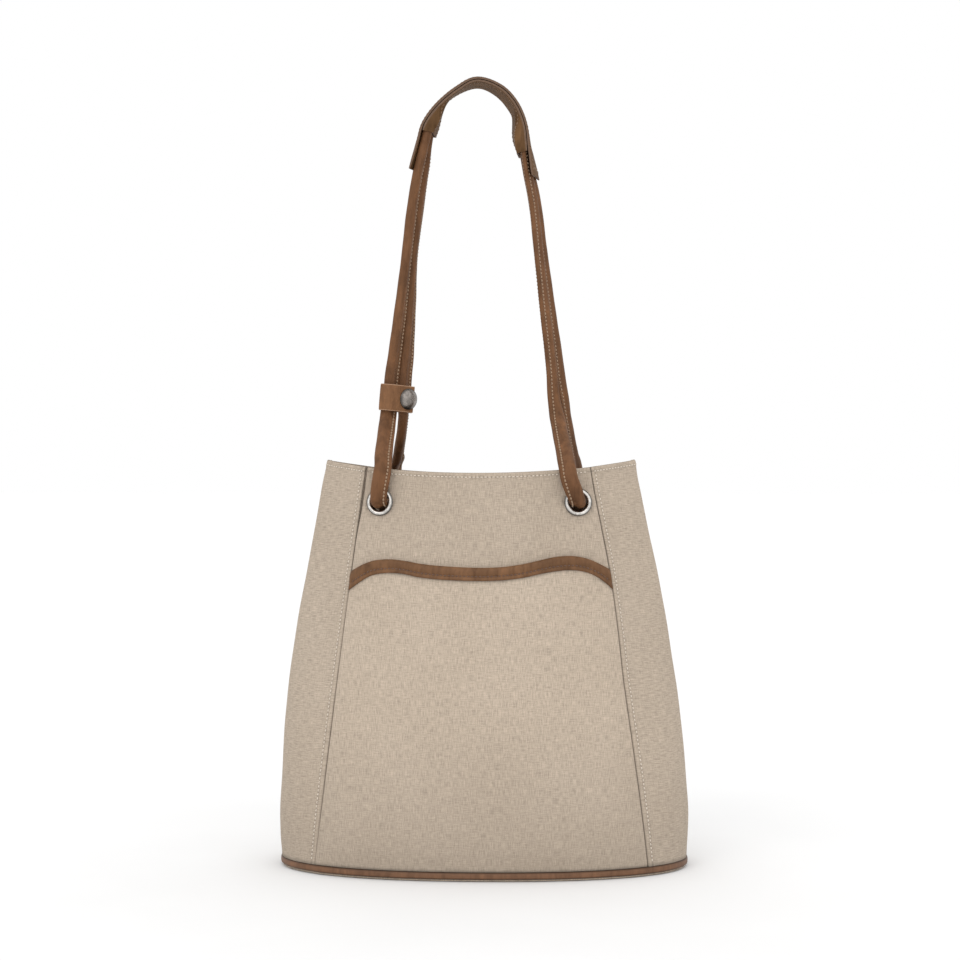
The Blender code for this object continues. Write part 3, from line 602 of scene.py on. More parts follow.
def leather_material(name, colour, roughness=0.56, variation=1.0, specular=0.14, relief=0.4):
    """Pull-up leather: pores, fine creases, cloudy colour and a soft low gloss."""
    s = Shader(name, roughness)
    s.surface.inputs["Specular IOR Level"].default_value = specular
    pores = s.cells(s.place, 900.0)
    creases = s.cells(s.scaled(s.place, 1.0, 1.0, 0.55), 420.0, "DISTANCE_TO_EDGE")
    cloudy = s.noise(s.place, 55.0, 4.0, 0.6)
    streaks = s.noise(s.scaled(s.place, 1.0, 1.0, 0.22), 260.0, 3.0, 0.6, 0.6)
    fine = s.noise(s.place, 900.0, 3.0, 0.6)
    base = s.tones(cloudy, colour, (0.28, 1 - 0.26 * variation), (0.5, 1.0),
                   (0.76, 1 + 0.30 * variation))
    worn = s.ramp(streaks, (0.3, (0.70, 0.67, 0.64)), (0.52, WHITE), (0.72, (1.24, 1.21, 1.16)))
    base = s.mix(0.9, base, worn, "MULTIPLY")
    speck = s.ramp(pores, (0.02, (0.80, 0.78, 0.76)), (0.25, WHITE))
    # The stored painted shade darkens the leather towards 0.3 of its colour.
    base = s.darkened(s.mix(0.6, base, speck, "MULTIPLY"), colour, 0.3)
    height = s.plus(s.times(pores, 0.8), s.times(fine, 0.5))
    height = s.plus(height, s.math("MINIMUM", s.times(creases, 3.0), 0.6))
    gloss = s.plus(roughness - 0.10, s.times(streaks, 0.2))
    return s.finish(base, s.bump(height, 0.00012, relief), gloss)


def raw_edge_material(name, colour):
    """Cut leather edge: pale, fibrous, matte."""
    s = Shader(name, 0.8)
    fibres = s.noise(s.scaled(s.place, 1.0, 1.0, 0.4), 1200.0, 4.0, 0.7)
    return s.finish(s.tones(fibres, colour, (0.3, 0.75), (0.7, 1.25)),
                    s.bump(fibres, 0.0002, 0.5))


def thread_material(name, colour):
    """Twisted sewing thread."""
    s = Shader(name, 0.7)
    twist = s.noise(s.place, 2600.0, 2.0)
    return s.finish(s.tones(twist, colour, (0.3, 0.8), (0.7, 1.1)),
                    s.bump(twist, 0.00006, 0.5), sheen=0.2)


def metal_material(name, colour):
    """Antiqued nickel: brushed, with dark patina in clouds and fine scratches."""
    s = Shader(name, 0.22, 0.95)
    patina = s.noise(s.place, 420.0, 4.0, 0.65)
    scratches = s.noise(s.scaled(s.place, 1.0, 1.0, 6.0), 900.0, 3.0, 0.6)
    base = s.tones(patina, colour, (0.3, 0.55), (0.55, 1.0), (0.8, 1.35))
    gloss = s.plus(0.14, s.times(patina, 0.28))
    # Stored painted shade and painted dark reflections darken the metal towards 0.12 of its
    # colour.
    return s.finish(s.darkened(base, colour, 0.12), s.bump(scratches, 0.00005, 0.4), gloss)


def board_material(name, colour):
    """Grey-brown fibre board."""
    s = Shader(name, 0.9)
    fibres = s.noise(s.place, 300.0, 5.0, 0.7)
    return s.finish(s.tones(fibres, colour, (0.3, 0.8), (0.7, 1.2)),
                    s.bump(fibres, 0.0002, 0.4))


WHITE = (1.0, 1.0, 1.0)
YARN_PITCH, RIB_PITCH = 0.62, 0.9     # millimetres between the canvas's yarns, the twill's ribs
CANVAS_COLOUR = (0.478, 0.395, 0.313)
materials = {
    "canvas": canvas_material("canvas", CANVAS_COLOUR, 0.56),
    "pocket": canvas_material("pocket_canvas", scaled_colour(CANVAS_COLOUR, 1.09), 0.56),
    "gusset": canvas_material("gusset_canvas", CANVAS_COLOUR, 0.36),
    "facing": canvas_material("facing_canvas", scaled_colour(CANVAS_COLOUR, 0.97)),
    "lining": lining_material("lining_twill", (0.43, 0.36, 0.285)),
    "cord": leather_material("cord_leather", (0.146, 0.068, 0.031)),
    "pad": leather_material("pad_leather", (0.122, 0.066, 0.031), specular=0.03, relief=0.12),
    "binding": leather_material("binding_leather", (0.150, 0.075, 0.036), 0.5),
    "piping": leather_material("piping_leather", (0.165, 0.083, 0.044), 0.5, 0.7, 0.25),
    "keeper": leather_material("keeper_leather", (0.185, 0.090, 0.042), 0.5, 1.1),
    "raw_edge": raw_edge_material("raw_leather_edge", (0.34, 0.20, 0.12)),
    "dark_edge": raw_edge_material("dyed_leather_edge", (0.13, 0.075, 0.045)),
    "seam_thread": thread_material("seam_thread", (0.70, 0.62, 0.52)),
    "leather_thread": thread_material("leather_thread", (0.25, 0.155, 0.098)),
    "binding_thread": thread_material("binding_thread", (0.115, 0.056, 0.030)),
    "cord_thread": thread_material("cord_thread", (0.33, 0.215, 0.13)),
    "metal": metal_material("antique_metal", (0.42, 0.40, 0.37)),
    "bright_metal": metal_material("worn_eyelet_metal", (0.72, 0.69, 0.65)),
    "cap": metal_material("antique_snap_metal", (0.31, 0.28, 0.255)),
    "board": board_material("fibre_board", (0.30, 0.25, 0.19)),
}


# ---- placing metal
def wall_frame(u, z):
    """Centre and outward axis of something fixed square to the wall's outer face."""
    centre = Vector(wall(u, z, 0.0))
    across = Vector(wall(u + 0.04, z, 0.0)) - Vector(wall(u - 0.04, z, 0.0))
    upward = Vector(wall(u, z + 6.0, 0.0)) - Vector(wall(u, z - 6.0, 0.0))
    return centre, across.cross(upward).normalized()


def eyelet_positions():
    share = EYELET_X / seam_x(EYELET_Z)
    return {"front_left": (1 - share) / 2, "front_right": (1 + share) / 2,
            "back_right": 2 + (1 - share) / 2, "back_left": 2 + (1 + share) / 2}


eyelet_u = eyelet_positions()
eyelets = {name: wall_frame(u, EYELET_Z) for name, u in eyelet_u.items()}


# ---- cloth relief
def eyelet_distance(u, z):
    """Distance in millimetres from the nearest eyelet's centre."""
    nearest = np.full(np.broadcast(u, z).shape, 1e3)
    for at in eyelet_u.values():
        across = (u - at) * 2 * seam_x(EYELET_Z)
        nearest = np.minimum(nearest, np.hypot(across, z - EYELET_Z))
    return nearest


def undulation(u, z):
    """Slow soft swells of filled-out cloth, in millimetres."""
    swell = 0.55 * np.sin(3.1 * u + 0.021 * z + 0.7) * np.sin(0.019 * z + 1.3 * u + 0.4)
    swell = swell + 0.32 * np.sin(9.0 * u - 0.034 * z + 2.1) * np.sin(0.043 * z + 0.9)
    return swell + 0.16 * np.sin(21.0 * u + 0.052 * z) * np.sin(0.09 * z + 3.0 * u)


def crease(u, z, start, end, width, depth):
    """A soft fold from one point of the wall to another, each given as (u, z)."""
    scale = 2 * seam_x(EYELET_Z)
    ax, az = start[0] * scale, start[1]
    bx, bz = end[0] * scale, end[1]
    px, pz = u * scale, z
    length = math.hypot(bx - ax, bz - az)
    along = ((px - ax) * (bx - ax) + (pz - az) * (bz - az)) / length
    away = ((px - ax) * (bz - az) - (pz - az) * (bx - ax)) / length
    fade = smoothstep(along / (0.3 * length)) * smoothstep((length - along) / (0.3 * length))
    return -depth * fade * bump_at(away, width)


# Creases that the cords pull in the cloth, above and below each eyelet: where each starts
# and ends, as a share of the panel outward and millimetres up, then its width and depth.
EYELET_CREASES = ((0.03, 3, 0.052, 21, 1.7, 0.75), (0.02, -6, 0.045, -26, 2.2, 0.35))


def cloth_relief(side, u, z, top):
    """Outward relief of a wall panel: seams, hems, stitch dips, swells and puckers."""
    edge = seam_distance(side, u - side, z)
    down = top - z
    relief = -0.65 * bump_at(edge, 0.6)
    if side % 2:
        relief = relief + 0.38 * (1 - smoothstep((edge - 4.3) / 1.1))
        relief = relief - 0.26 * bump_at(edge - SEAM_STITCH_INSET, 0.5)
    relief = relief + 0.28 * (1 - smoothstep((down - 3.9) / 1.2))
    relief = relief - 0.26 * bump_at(down - HEM_STITCH_DROP, 0.5) - 0.45 * bump_at(down, 0.7)
    calm = smoothstep(edge / 14) * smoothstep(down / 16)
    calm = calm * smoothstep((z - WALL_BOTTOM) / 14)
    near = eyelet_distance(u, z)
    calm = calm * smoothstep((near - 9) / 22)
    relief = relief + undulation(u, z) * calm
    if side % 2 == 0:
        relief = relief - 0.30 * bump_at(near - 14, 4.0)
        for at in eyelet_u.values():
            if int(at) == side:
                out = 1 if at - side > 0.5 else -1
                for near_out, near_up, far_out, far_up, width, depth in EYELET_CREASES:
                    start = (at + out * near_out, EYELET_Z + near_up)
                    end = (at + out * far_out, EYELET_Z + far_up)
                    relief = relief + crease(u, z, start, end, width, depth)
    return relief


def cloth_shade(side, u, z, top):
    """Painted shade of the cloth, from 0 to 1: in its seams and stitch rows, round the eyelets,
    along its top and lower edges, and a little more towards the bottom.
    """
    edge = seam_distance(side, u - side, z)
    dark = 0.6 * bump_at(edge, 0.45) + 0.32 * bump_at(top - z - HEM_STITCH_DROP, 0.5)
    dark = dark + 0.45 * bump_at(eyelet_distance(u, z) - 9.9, 0.6)
    dark = dark + 0.35 * bump_at(top - z, 0.35)
    if side % 2:
        dark = dark + 0.32 * bump_at(edge - SEAM_STITCH_INSET, 0.55)
    dark = dark + 0.5 * bump_at(z - WALL_BOTTOM, 1.2) + 0.11 * (1 - smoothstep(z / 100))
    return np.clip(dark, 0, 0.9)


def near_edges(length, fine, step):
    """Positions from 0 to length: fine ones by each end, then about step apart."""
    inner = np.linspace(fine[-1], length - fine[-1], round((length - 2 * fine[-1]) / step) + 1)
    return np.concatenate([fine[:-1], inner, (length - np.array(fine[:-1]))[::-1]])


# Lengths that spread a front's and a gusset's columns, and the finer steps by their edges.
FRONT_GRID, GUSSET_GRID = 200.0, 100.0
SEAM_FINE = [0.0, 0.3, 0.7, 1.2, 1.9, 2.8, 3.5, 3.9, 4.3, 4.8, 5.6, 7.0]
TOP_FINE = [0.0, 0.25, 0.6, 1.1, 1.8, 2.5, 2.9, 3.3, 3.8, 4.6, 6.0]


def panel_grid(side):
    """(u, z) grids of a wall panel, finer along its seams and its top edge."""
    length = FRONT_GRID if side % 2 == 0 else GUSSET_GRID
    columns = near_edges(length, SEAM_FINE, 3.0) / length
    u = side + PANEL_GAP + columns * (1 - 2 * PANEL_GAP)
    top = mouth_height(u)
    rows = [WALL_BOTTOM + (top - TOP_FINE[-1] - WALL_BOTTOM) * t
            for t in np.linspace(0, 1, 94)]
    rows += [top - down for down in TOP_FINE[-2::-1]]
    z = np.array(rows)
    return np.broadcast_to(u, z.shape), z, np.broadcast_to(top, z.shape)


def cloth_uv(side, u, z):
    """UVs in millimetres along and up a panel."""
    return np.stack([(u - side - 0.5) * side_length(side, z) + side * 400.0, z], -1)


PANELS = (("front_panel", 0), ("right_gusset", 1), ("back_panel", 2), ("left_gusset", 3))


def make_panels():
    for node, side in PANELS:
        u, z, top = panel_grid(side)
        relief = cloth_relief(side, u, z, top)
        set_back = 0.0
        if side == 0:
            hidden = smoothstep((pocket_edge(u) - 8 - z) / 10)
            relief = relief * (1 - hidden)
            set_back = BEHIND_POCKET * hidden
        outer = wall(u, z, set_back - relief)
        inner = wall(u, z, set_back + CANVAS - np.minimum(relief, 0) * 0.2)
        cloth = slab(node + "_cloth", outer, inner, cloth_uv(side, u, z),
                     cloth_shade(side, u, z, top))
        holes = [eyelets[name] for name, at in eyelet_u.items() if int(at) == side]
        if side % 2 == 0:
            punched(cloth, holes, CLOTH_HOLE_RADIUS)
        fit(cloth, ["gusset" if side % 2 else "canvas"], [node], "root")


def inner_sheet(name, node, side, low, high, depths, look, holes=(), rise=0.0):
    """A lining or facing panel, with small soft ripples."""
    gap = 0.004
    u = np.linspace(side + gap, side + 1 - gap, 60)
    top = high(u)
    z = np.array([low + (top - low) * t for t in np.linspace(0, 1, 40)])
    u = np.broadcast_to(u, z.shape)
    s = u - side
    ripple = rise * np.sin(26 * s + 0.03 * z) * np.sin(0.05 * z + 9 * s)
    ripple = ripple * smoothstep(np.minimum(s, 1 - s) / 0.12) * smoothstep((top - z) / 20)
    ripple = np.abs(ripple)
    tuck = 0.5 * bump_at(seam_distance(side, s, z), 1.2)
    outer = wall(u, z, depths[0] + ripple + tuck * 0.3)
    inner = wall(u, z, depths[1] + ripple - tuck)
    made = slab(name, outer, inner, cloth_uv(side, u, z))
    if holes:
        punched(made, holes, CLOTH_HOLE_RADIUS)
    fit(made, [look], [node], "root")


def make_insides():
    words = {"front": 0, "right": 1, "back": 2, "left": 3}
    for word, side in words.items():
        holes = [eyelets[n] for n in eyelets if n.startswith(word)] if side % 2 == 0 else []
        inner_sheet(f"{word}_facing", "facing_" + word, side, FACING_BOTTOM,
                    lambda u: mouth_height(u) - 0.25, FACING_DEPTH, "facing", holes)
        inner_sheet(f"{word}_lining", "lining_" + word, side, WALL_BOTTOM,
                    lambda u: np.full_like(u, FACING_BOTTOM + 2.0), LINING_DEPTH, "lining",
                    (), 0.7)


def make_slip_pocket():
    u = 2 + np.linspace(INNER_POCKET_S[0], INNER_POCKET_S[1], 56)
    z = np.linspace(INNER_POCKET_Z[0], INNER_POCKET_Z[1], 50)[:, None] + 0 * u
    u = np.broadcast_to(u, z.shape)
    share = (u - u.min()) / (u.max() - u.min())
    lift = (z - z.min()) / (z.max() - z.min())
    gape = 2.2 * smoothstep(np.minimum(share, 1 - share) / 0.3) * smoothstep(lift)
    hem = 0.35 * smoothstep((z - z.max() + 12) / 1.0)
    outer = wall(u, z, SLIP_POCKET_DEPTH[0] + gape)
    inner = wall(u, z, SLIP_POCKET_DEPTH[1] + gape + hem)
    cloth = slab("slip_pocket", outer, inner, cloth_uv(2, u, z))
    fit(cloth, ["lining"], ["inner_slip_pocket"], "root")


# ---- front pocket
def pocket_face(s, z):
    """How far the pocket cloth's outer face stands off the front panel's face."""
    edge = seam_distance(0, s, z)
    stand = 0.35 + 1.9 * smoothstep(edge / 11) * smoothstep((z - WALL_BOTTOM + 2) / 16)
    return stand - 0.6 * bump_at(edge, 0.6) - 0.5 * bump_at(z - WALL_BOTTOM, 1.0)


def pocket_swell(s, z):
    calm = smoothstep(np.minimum(s, 1 - s) / 0.1) * smoothstep((z - WALL_BOTTOM) / 20)
    calm = calm * smoothstep((pocket_edge(s) - z) / 24)
    return calm * (undulation(s, z) * 1.25 + 0.3)


def make_pocket():
    columns = near_edges(FRONT_GRID, SEAM_FINE, 2.6) / FRONT_GRID
    s = PANEL_GAP + columns * (1 - 2 * PANEL_GAP)
    top = pocket_edge(s) - 1.6
    z = np.array([WALL_BOTTOM + (top - WALL_BOTTOM) * t
                  for t in np.concatenate([[0, 0.002, 0.005, 0.009], np.linspace(0.015, 1, 84)])])
    s = np.broadcast_to(s, z.shape)
    stand = pocket_face(s, z) + pocket_swell(s, z)
    edge = seam_distance(0, s, z)
    # Painted shade in the seams, along the bottom and a little more towards the bottom, and a
    # painted shadow under the binding.
    dark = 0.6 * bump_at(edge, 0.45) + 0.5 * bump_at(z - WALL_BOTTOM, 1.2)
    dark = dark + 0.23 * (1 - smoothstep(z / 130))
    dark = np.clip(dark + 0.55 * bump_at(binding_edge(s) - z, 0.7), 0, 0.9)
    cloth = slab("pocket_cloth", wall(s, z, -stand), wall(s, z, POCKET_CLOTH - stand),
                 cloth_uv(0, s, z) + 60.0, dark)
    fit(cloth, ["pocket"], ["front_pocket"], "root")


def make_binding():
    """Leather strip folded over the pocket's edge, stitched near its lower edge."""
    profile = np.array([(0.0, 0.15), (0.0, 0.75), (0.35, 1.15), (1.1, 1.3), (2.0, 1.25),
                        (2.6, 1.0), (3.0, 0.86), (3.4, 1.0), (4.0, 1.3), (5.2, 1.62),
                        (6.6, 1.75), (7.8, 1.55), (8.7, 1.0), (9.15, 0.2), (BINDING_HEIGHT, -0.6),
                        (8.9, -1.5), (8.1, -1.6), (7.8, -1.2), (7.9, 0.0), (5.0, 0.1)])
    s = np.linspace(0.0014, 0.9986, 150)
    top, low = pocket_edge(s), binding_edge(s)
    rings = []
    for k in range(len(s)):
        z = low[k] + (top[k] - low[k]) * profile[:, 0] / BINDING_HEIGHT
        base = pocket_face(s[k], z) + pocket_swell(s[k], z)
        soft = 0.12 * math.sin(61.0 * s[k]) * math.sin(17.0 * s[k] + 1.0)
        taper = 0.75 + 0.25 * float(smoothstep(min(s[k], 1 - s[k]) / 0.02))
        rings.append(wall(s[k], z, -(base + profile[:, 1] * taper + soft)))
    strip = sleeve("pocket_edge_binding", rings, sharp=60)
    fit(strip, ["binding"], ["pocket_binding"], "root")
    z = low + (top - low) * BINDING_STITCH_LINE / BINDING_HEIGHT
    line, normal = wall_row(s, z, pocket_face(s, z) + pocket_swell(s, z) + 0.86)
    stitches("pocket_edge_stitches", line[2:-2], normal[2:-2], "binding")


# ---- seams' stitching
def make_seam_stitches():
    for side, word in ((1, "right"), (3, "left")):
        for near_front in (True, False):
            z = np.linspace(WALL_BOTTOM + 3, MOUTH_SEAM_Z - 4.5, 260)
            share = SEAM_STITCH_INSET / side_length(side, z)
            u = side + (share if near_front == (side == 1) else 1 - share)
            relief = cloth_relief(side, u, z, mouth_height(u))
            name = f"{word}_{'front' if near_front else 'back'}_seam_stitches"
            stitches(name, *wall_row(u, z, relief), "seam")
    for node, side in PANELS:
        u = np.linspace(side + 0.02, side + 0.98, 160)
        z = mouth_height(u) - HEM_STITCH_DROP
        line, normal = wall_row(u, z, cloth_relief(side, u, z, mouth_height(u)))
        stitches(node + "_mouth_stitches", line, normal, "mouth")
        inside = wall(u, z, FACING_DEPTH[1])
        stitches(node + "_facing_stitches", inside, -normal, "facing")


# ---- base
def make_base():
    turns = np.linspace(0, 4, 220, endpoint=False)
    wobble = 0.10 * np.sin(turns * 9.3) * np.sin(turns * 4.1 + 1)
    outline = rounded([(3.7, -1.0), (-0.75, -1.0), (-0.75, 1.0), (3.7, 1.0)], 2.1, 5)
    middle = (PIPING_LOW + PIPING_HIGH) / 2
    reach = (PIPING_HIGH - PIPING_LOW) / 2
    rings = []
    for i, u in enumerate(turns):
        ring = wall(u, PIPING_HIGH, outline[:, 0] - wobble[i])
        ring[:, 2] = middle + outline[:, 1] * reach
        rings.append(ring)
    # Painted shade along the piping's top and bottom edges.
    painted_edge_shade = 0.75 * smoothstep((np.abs(outline[:, 1]) - 0.45) / 0.5)
    piping = sleeve("base_edge_piping", rings, closed=True, sharp=60,
                    shade=np.tile(painted_edge_shade, len(rings)))
    fit(piping, ["piping"], ["base_piping"], "root")
    panel = ((9.0, 0.0), (2.0, 0.02), (1.0, 0.25), (0.7, 0.75), (0.9, 1.25), (2.0, 1.42),
             (9.0, 1.42))
    lining = ((4.4, 3.8), (4.2, 4.2), (5.0, 4.7), (12.0, 4.8))
    for name, node, look, slot, profile in (
            ("base_cloth", "base_panel", "canvas", "canvas", panel),
            ("base_lining", "lining_base", "lining", "lining_cloth", lining)):
        rings = []
        for inset, height in profile:
            ring = wall(turns, PIPING_HIGH, inset)
            ring[:, 2] = height
            rings.append(ring)
        fit(sleeve(name, rings, sharp=60, flat=True), [look], [node], "root")


# ---- metal fittings
def eyelet_painted_shade(radius):
    """Painted shade on an eyelet: dark along its outer edge and inside its bore."""
    return float(np.clip(0.9 * smoothstep((radius - 8.6) / 0.5)
                         + 0.7 * smoothstep((6.75 - radius) / 0.3), 0, 0.9))


def cap_painted_reflection(radius):
    """Painted dark reflections on the snap's cap: round its rim and a little in its middle."""
    return float(0.75 * smoothstep((radius - 5.8) / 1.2) + 0.18 * bump_at(radius, 2.6))


def lathe_piece(name, node, profile, centre, axis, body, look, solid=False, shade=None):
    """Turn a profile of (radius, height) about an axis; solid closes it on the axis."""
    steps = 56
    side = axis.orthogonal().normalized()
    other = axis.cross(side)
    angle = np.linspace(0, 2 * math.pi, steps, endpoint=False)
    spoke = np.outer(np.cos(angle), side) + np.outer(np.sin(angle), other)
    rings = [np.array(centre) + np.array(axis) * h + spoke * r for r, h in profile]
    if shade is not None:
        shade = np.repeat([shade(r) for r, _ in profile], steps)
    made = sleeve(name, rings, 50, closed=not solid, shade=shade)
    fit(made, [look], [node], body)


def rim_points(radius, height, size, start, end, steps):
    """Points of a rolled rim: an arc of a small circle, angles in degrees."""
    made = []
    for k in range(steps + 1):
        angle = math.radians(start + (end - start) * k / steps)
        made.append((radius + size * math.cos(angle), height + size * math.sin(angle)))
    return made


def make_fittings():
    for name, (centre, axis) in eyelets.items():
        flange = [(6.4, -4.9), (6.35, -1.0)] + rim_points(7.75, 0.75, 1.35, 180, 40, 8)
        flange += [(9.0, 1.35), (9.45, 1.1), (9.6, 0.7), (9.5, 0.35), (7.2, 0.3), (7.0, -4.9)]
        # Each eyelet's ring carries painted shade on its outer edge and in its bore.
        lathe_piece("eyelet_ring_" + name, "eyelet_" + name, flange, centre, axis, "root",
                    "bright_metal", shade=eyelet_painted_shade)
        washer = [(7.1, -3.5), (9.2, -3.5), (9.6, -3.7), (9.6, -4.1), (9.1, -4.4)]
        washer += rim_points(7.6, -4.4, 0.8, 0, -170, 6) + [(6.9, -4.2)]
        lathe_piece("eyelet_back_ring_" + name, "eyelet_washer_" + name, washer, centre, axis,
                    "root", "metal")
    base = -4.0
    cup = [(0.01, base), (8.0, base), (8.0, base - 2.4), (7.6, base - 2.9), (7.2, base - 3.0),
           (3.9, base - 3.0), (3.5, base - 2.7), (3.4, base - 1.2), (0.01, base - 1.2)]
    stud = [(0.01, base), (8.0, base), (8.0, base - 1.2), (7.6, base - 1.6), (3.2, base - 1.7),
            (2.8, base - 1.9), (2.7, base - 2.8), (2.4, base - 3.1), (0.01, base - 3.1)]
    for name, node, profile, at in (("magnet_cup", "magnet_snap_cup", cup, 0.5),
                                    ("magnet_stud", "magnet_snap_stud", stud, 2.5)):
        centre, axis = wall_frame(at, MAGNET_Z)
        lathe_piece(name, node, profile, centre, axis, "root", "metal", solid=True)


# ---- cords
def along(route, count, start=0.0, end=None):
    """Positions, tangents and turns along a smooth curve through a route's points."""
    route = np.array(route, float)
    reach = run_along(route[:, :3])
    end = reach[-1] if end is None else end
    at = np.linspace(start, end, count)

    def read(at):
        return np.stack([curve(list(zip(reach, line)), at) for line in route.T], -1)

    here, near = read(at), 0.8
    ahead = unit((read(at + near) - read(at - near))[:, :3])
    return here[:, :3], ahead, here[:, 3], at


def level_ways(turn):
    """Level directions by their turn in degrees: 0 is along +y and 90 along +x."""
    angle = np.radians(turn)
    return np.stack([np.sin(angle), np.cos(angle), 0 * angle], -1)


def half_loop(place):
    """Route from just inside an eyelet, out through it and up over the mouth's edge."""
    centre, axis = eyelets[place]
    x, y, turn = STUB_TOPS[place]
    flat = Vector((axis.x, axis.y, 0)).normalized()
    lean = MOUTH_EDGE_X[place] - (centre + flat * WAY_OUT[-1][0]).x
    route = []
    for out, rise, leaned, twisted in WAY_OUT:
        point = centre + flat * out
        route.append((point.x + lean * leaned, point.y, point.z + rise,
                      90.0 + (turn - 90.0) * twisted))
    route.append((x, y, BEND_LOW, turn))
    return route


def upper_run(place):
    leg = LEFT_LEG if place.endswith("left") else RIGHT_LEG
    reach = CORD_SPACING if place.startswith("back") else -CORD_SPACING
    route = list(UPPER_STARTS[place])
    for x, z, turn in leg:
        angle = math.radians(turn)
        route.append((x + reach * math.sin(angle), reach * math.cos(angle), z, turn))
    return route


def cord_section(flange):
    """Outline of the cord: a leather roll with a flat stitched flange on one side."""
    roll = [(-2.25 + 3.85 * math.cos(a), 3.4 * math.sin(a))
            for a in np.radians(np.linspace(38, 322, 19))]
    tail = [(2.2, -1.75), (3.2, -1.32), (3.6, -1.22), (4.0, -1.3), (5.4, -1.4), (5.95, -1.1),
            (6.1, 0.0), (5.95, 1.1), (5.4, 1.4), (4.0, 1.3), (3.6, 1.22), (3.2, 1.32),
            (2.2, 1.75)]
    outline = np.array(roll + tail)
    outline[:, 0] *= flange
    return outline


def make_cord(side, flange):
    """One cord from the pad down through the front eyelet and back up to the pad."""
    front, back = "front_" + side, "back_" + side
    half_front, half_back = half_loop(front), half_loop(back)
    middle = (Vector(half_front[0][:3]) + Vector(half_back[0][:3])) / 2
    middle.z -= LOOP_SAG
    route = (upper_run(front)[::-1] + half_front[::-1] + [(*middle, 90.0)] + half_back
             + upper_run(back))
    centre, ahead, turn, at = along(route, 560)
    broad = squared_to(ahead, level_ways(turn))
    thin = np.cross(ahead, broad)
    outline = cord_section(flange)
    breathe = 1 + 0.018 * np.sin(at * 0.11) + 0.012 * np.sin(at * 0.29 + 1)
    for place in (front, back):
        breathe = breathe - 0.10 * bump_at(np.linalg.norm(centre - eyelets[place][0], axis=1), 7.0)
    spread = outline * breathe[:, None, None]
    rings = (centre[:, None] + broad[:, None] * spread[..., :1] + thin[:, None] * spread[..., 1:])
    cord = sleeve(side + "_cord", rings, sharp=60)
    nodes = (side + "_cord_loop", "strap_cord_" + front, "strap_cord_" + back,
             "cord_bend_" + front, "cord_bend_" + back)
    fit(cord, ["cord"], nodes)
    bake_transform(cord)
    for sign, word in ((1, "outer"), (-1, "inner")):
        line = centre + broad * 3.6 * flange + thin * sign * 1.24
        row = stitches(f"{side}_cord_{word}_stitches", line, thin * sign, "cord", None)
        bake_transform(row)


# ---- shoulder pad
def pad_frames(first, last, count):
    """Middle points, outward normals and width directions along part of the pad."""
    route = [(x, 0.0, z, turn) for x, z, turn in PAD_LINE]
    total = sum(math.dist(a[:3], b[:3]) for a, b in zip(route, route[1:]))
    centre, ahead, turn, at = along(route, count, total * first, total * last)
    normal = np.stack([-ahead[:, 2], 0 * at, ahead[:, 0]], -1)
    share = at / total
    low, high = PAD_CORD_SPAN
    apart = smoothstep((low - share) / PAD_CLOSING + 1)
    apart = apart + smoothstep((share - high) / PAD_CLOSING + 1)
    return centre, normal, level_ways(turn), at, apart[:, None]


def make_pad():
    """Outer strip over the cords, and a shorter inner strip sewn on under it."""
    strips = (("pad_outer_strip", "shoulder_pad_outer", PAD_HALF_WIDTH, (0.0, 1.0), 1.0, 0.55),
              ("pad_inner_strip", "shoulder_pad_inner", PAD_HALF_WIDTH - 0.3, PAD_INNER_SPAN,
               -1.0, 0.15))
    for name, node, half_width, span, face, crown in strips:
        centre, normal, broad, at, apart = pad_frames(*span, 150)
        offset = PAD_OUTER_OFFSET
        if face < 0:
            offset = PAD_INNER_OFFSET * (1 - apart) + PAD_APART_OFFSET * apart
        centre = centre + normal * offset
        across = np.linspace(-1, 1, 31)
        edge = (1 - np.abs(across)) * half_width
        swell = crown * smoothstep(edge / 7) - 0.22 * bump_at(edge - PAD_STITCH_INSET, 0.5)
        swell = swell - 0.35 * bump_at(edge, 0.6)
        face_line = np.stack([across * half_width, PAD_HALF_LEATHER + swell], -1)
        back_line = np.stack([across[::-1] * half_width, 0 * across - PAD_HALF_LEATHER], -1)
        outline = np.concatenate([face_line, back_line])
        outline[:, 1] *= face
        ends = np.minimum(at - at[0], at[-1] - at)
        thin = 1 - 0.35 * bump_at(ends, 3.0)
        drawn_in = np.zeros((len(at), len(outline)))
        if face < 0:
            reach = 1.5 + 6.0 * smoothstep(PAD_DRAWN_IN - apart)
            edge = half_width - np.abs(outline[None, :, 0])
            drawn_in = (PAD_INNER_OFFSET - offset) * (1 - smoothstep(edge / reach))
        rings = (centre[:, None] + broad[:, None] * outline[None, :, :1]
                 + normal[:, None] * outline[None, :, 1:] * thin[:, None, None]
                 + normal[:, None] * drawn_in[:, :, None])
        marks = [0] * len(outline)
        marks[len(across) - 1] = marks[-1] = 1
        strip = sleeve(name, rings, sharp=50, side_material=marks)
        fit(strip, ["pad", "dark_edge"], [node], "strap")
        for sign, word in ((-1, "front"), (1, "back")):
            line = (centre + normal * face * (PAD_HALF_LEATHER + crown * 0.25 - 0.2)
                    + broad * sign * (half_width - PAD_STITCH_INSET))
            if face < 0:
                closed = 1 - smoothstep(PAD_STITCH_INSET / reach)
                line = line + normal * (PAD_INNER_OFFSET - offset) * closed
            stitches(f"{name}_{word}_stitches", line[3:-3], normal[3:-3] * face, "pad", "strap")
        for k, word in ((5, "left"), (-6, "right")) if face > 0 else ():
            half_row = half_width - PAD_STITCH_INSET
            spread = np.linspace(-half_row, half_row, 20)[:, None]
            height = PAD_HALF_LEATHER + crown * 0.7
            line = centre[k] + normal[k] * height + broad[k] * spread
            stitches(f"{name}_{word}_end_stitches", line, np.repeat(normal[k][None], 20, 0),
                     "pad", "strap")


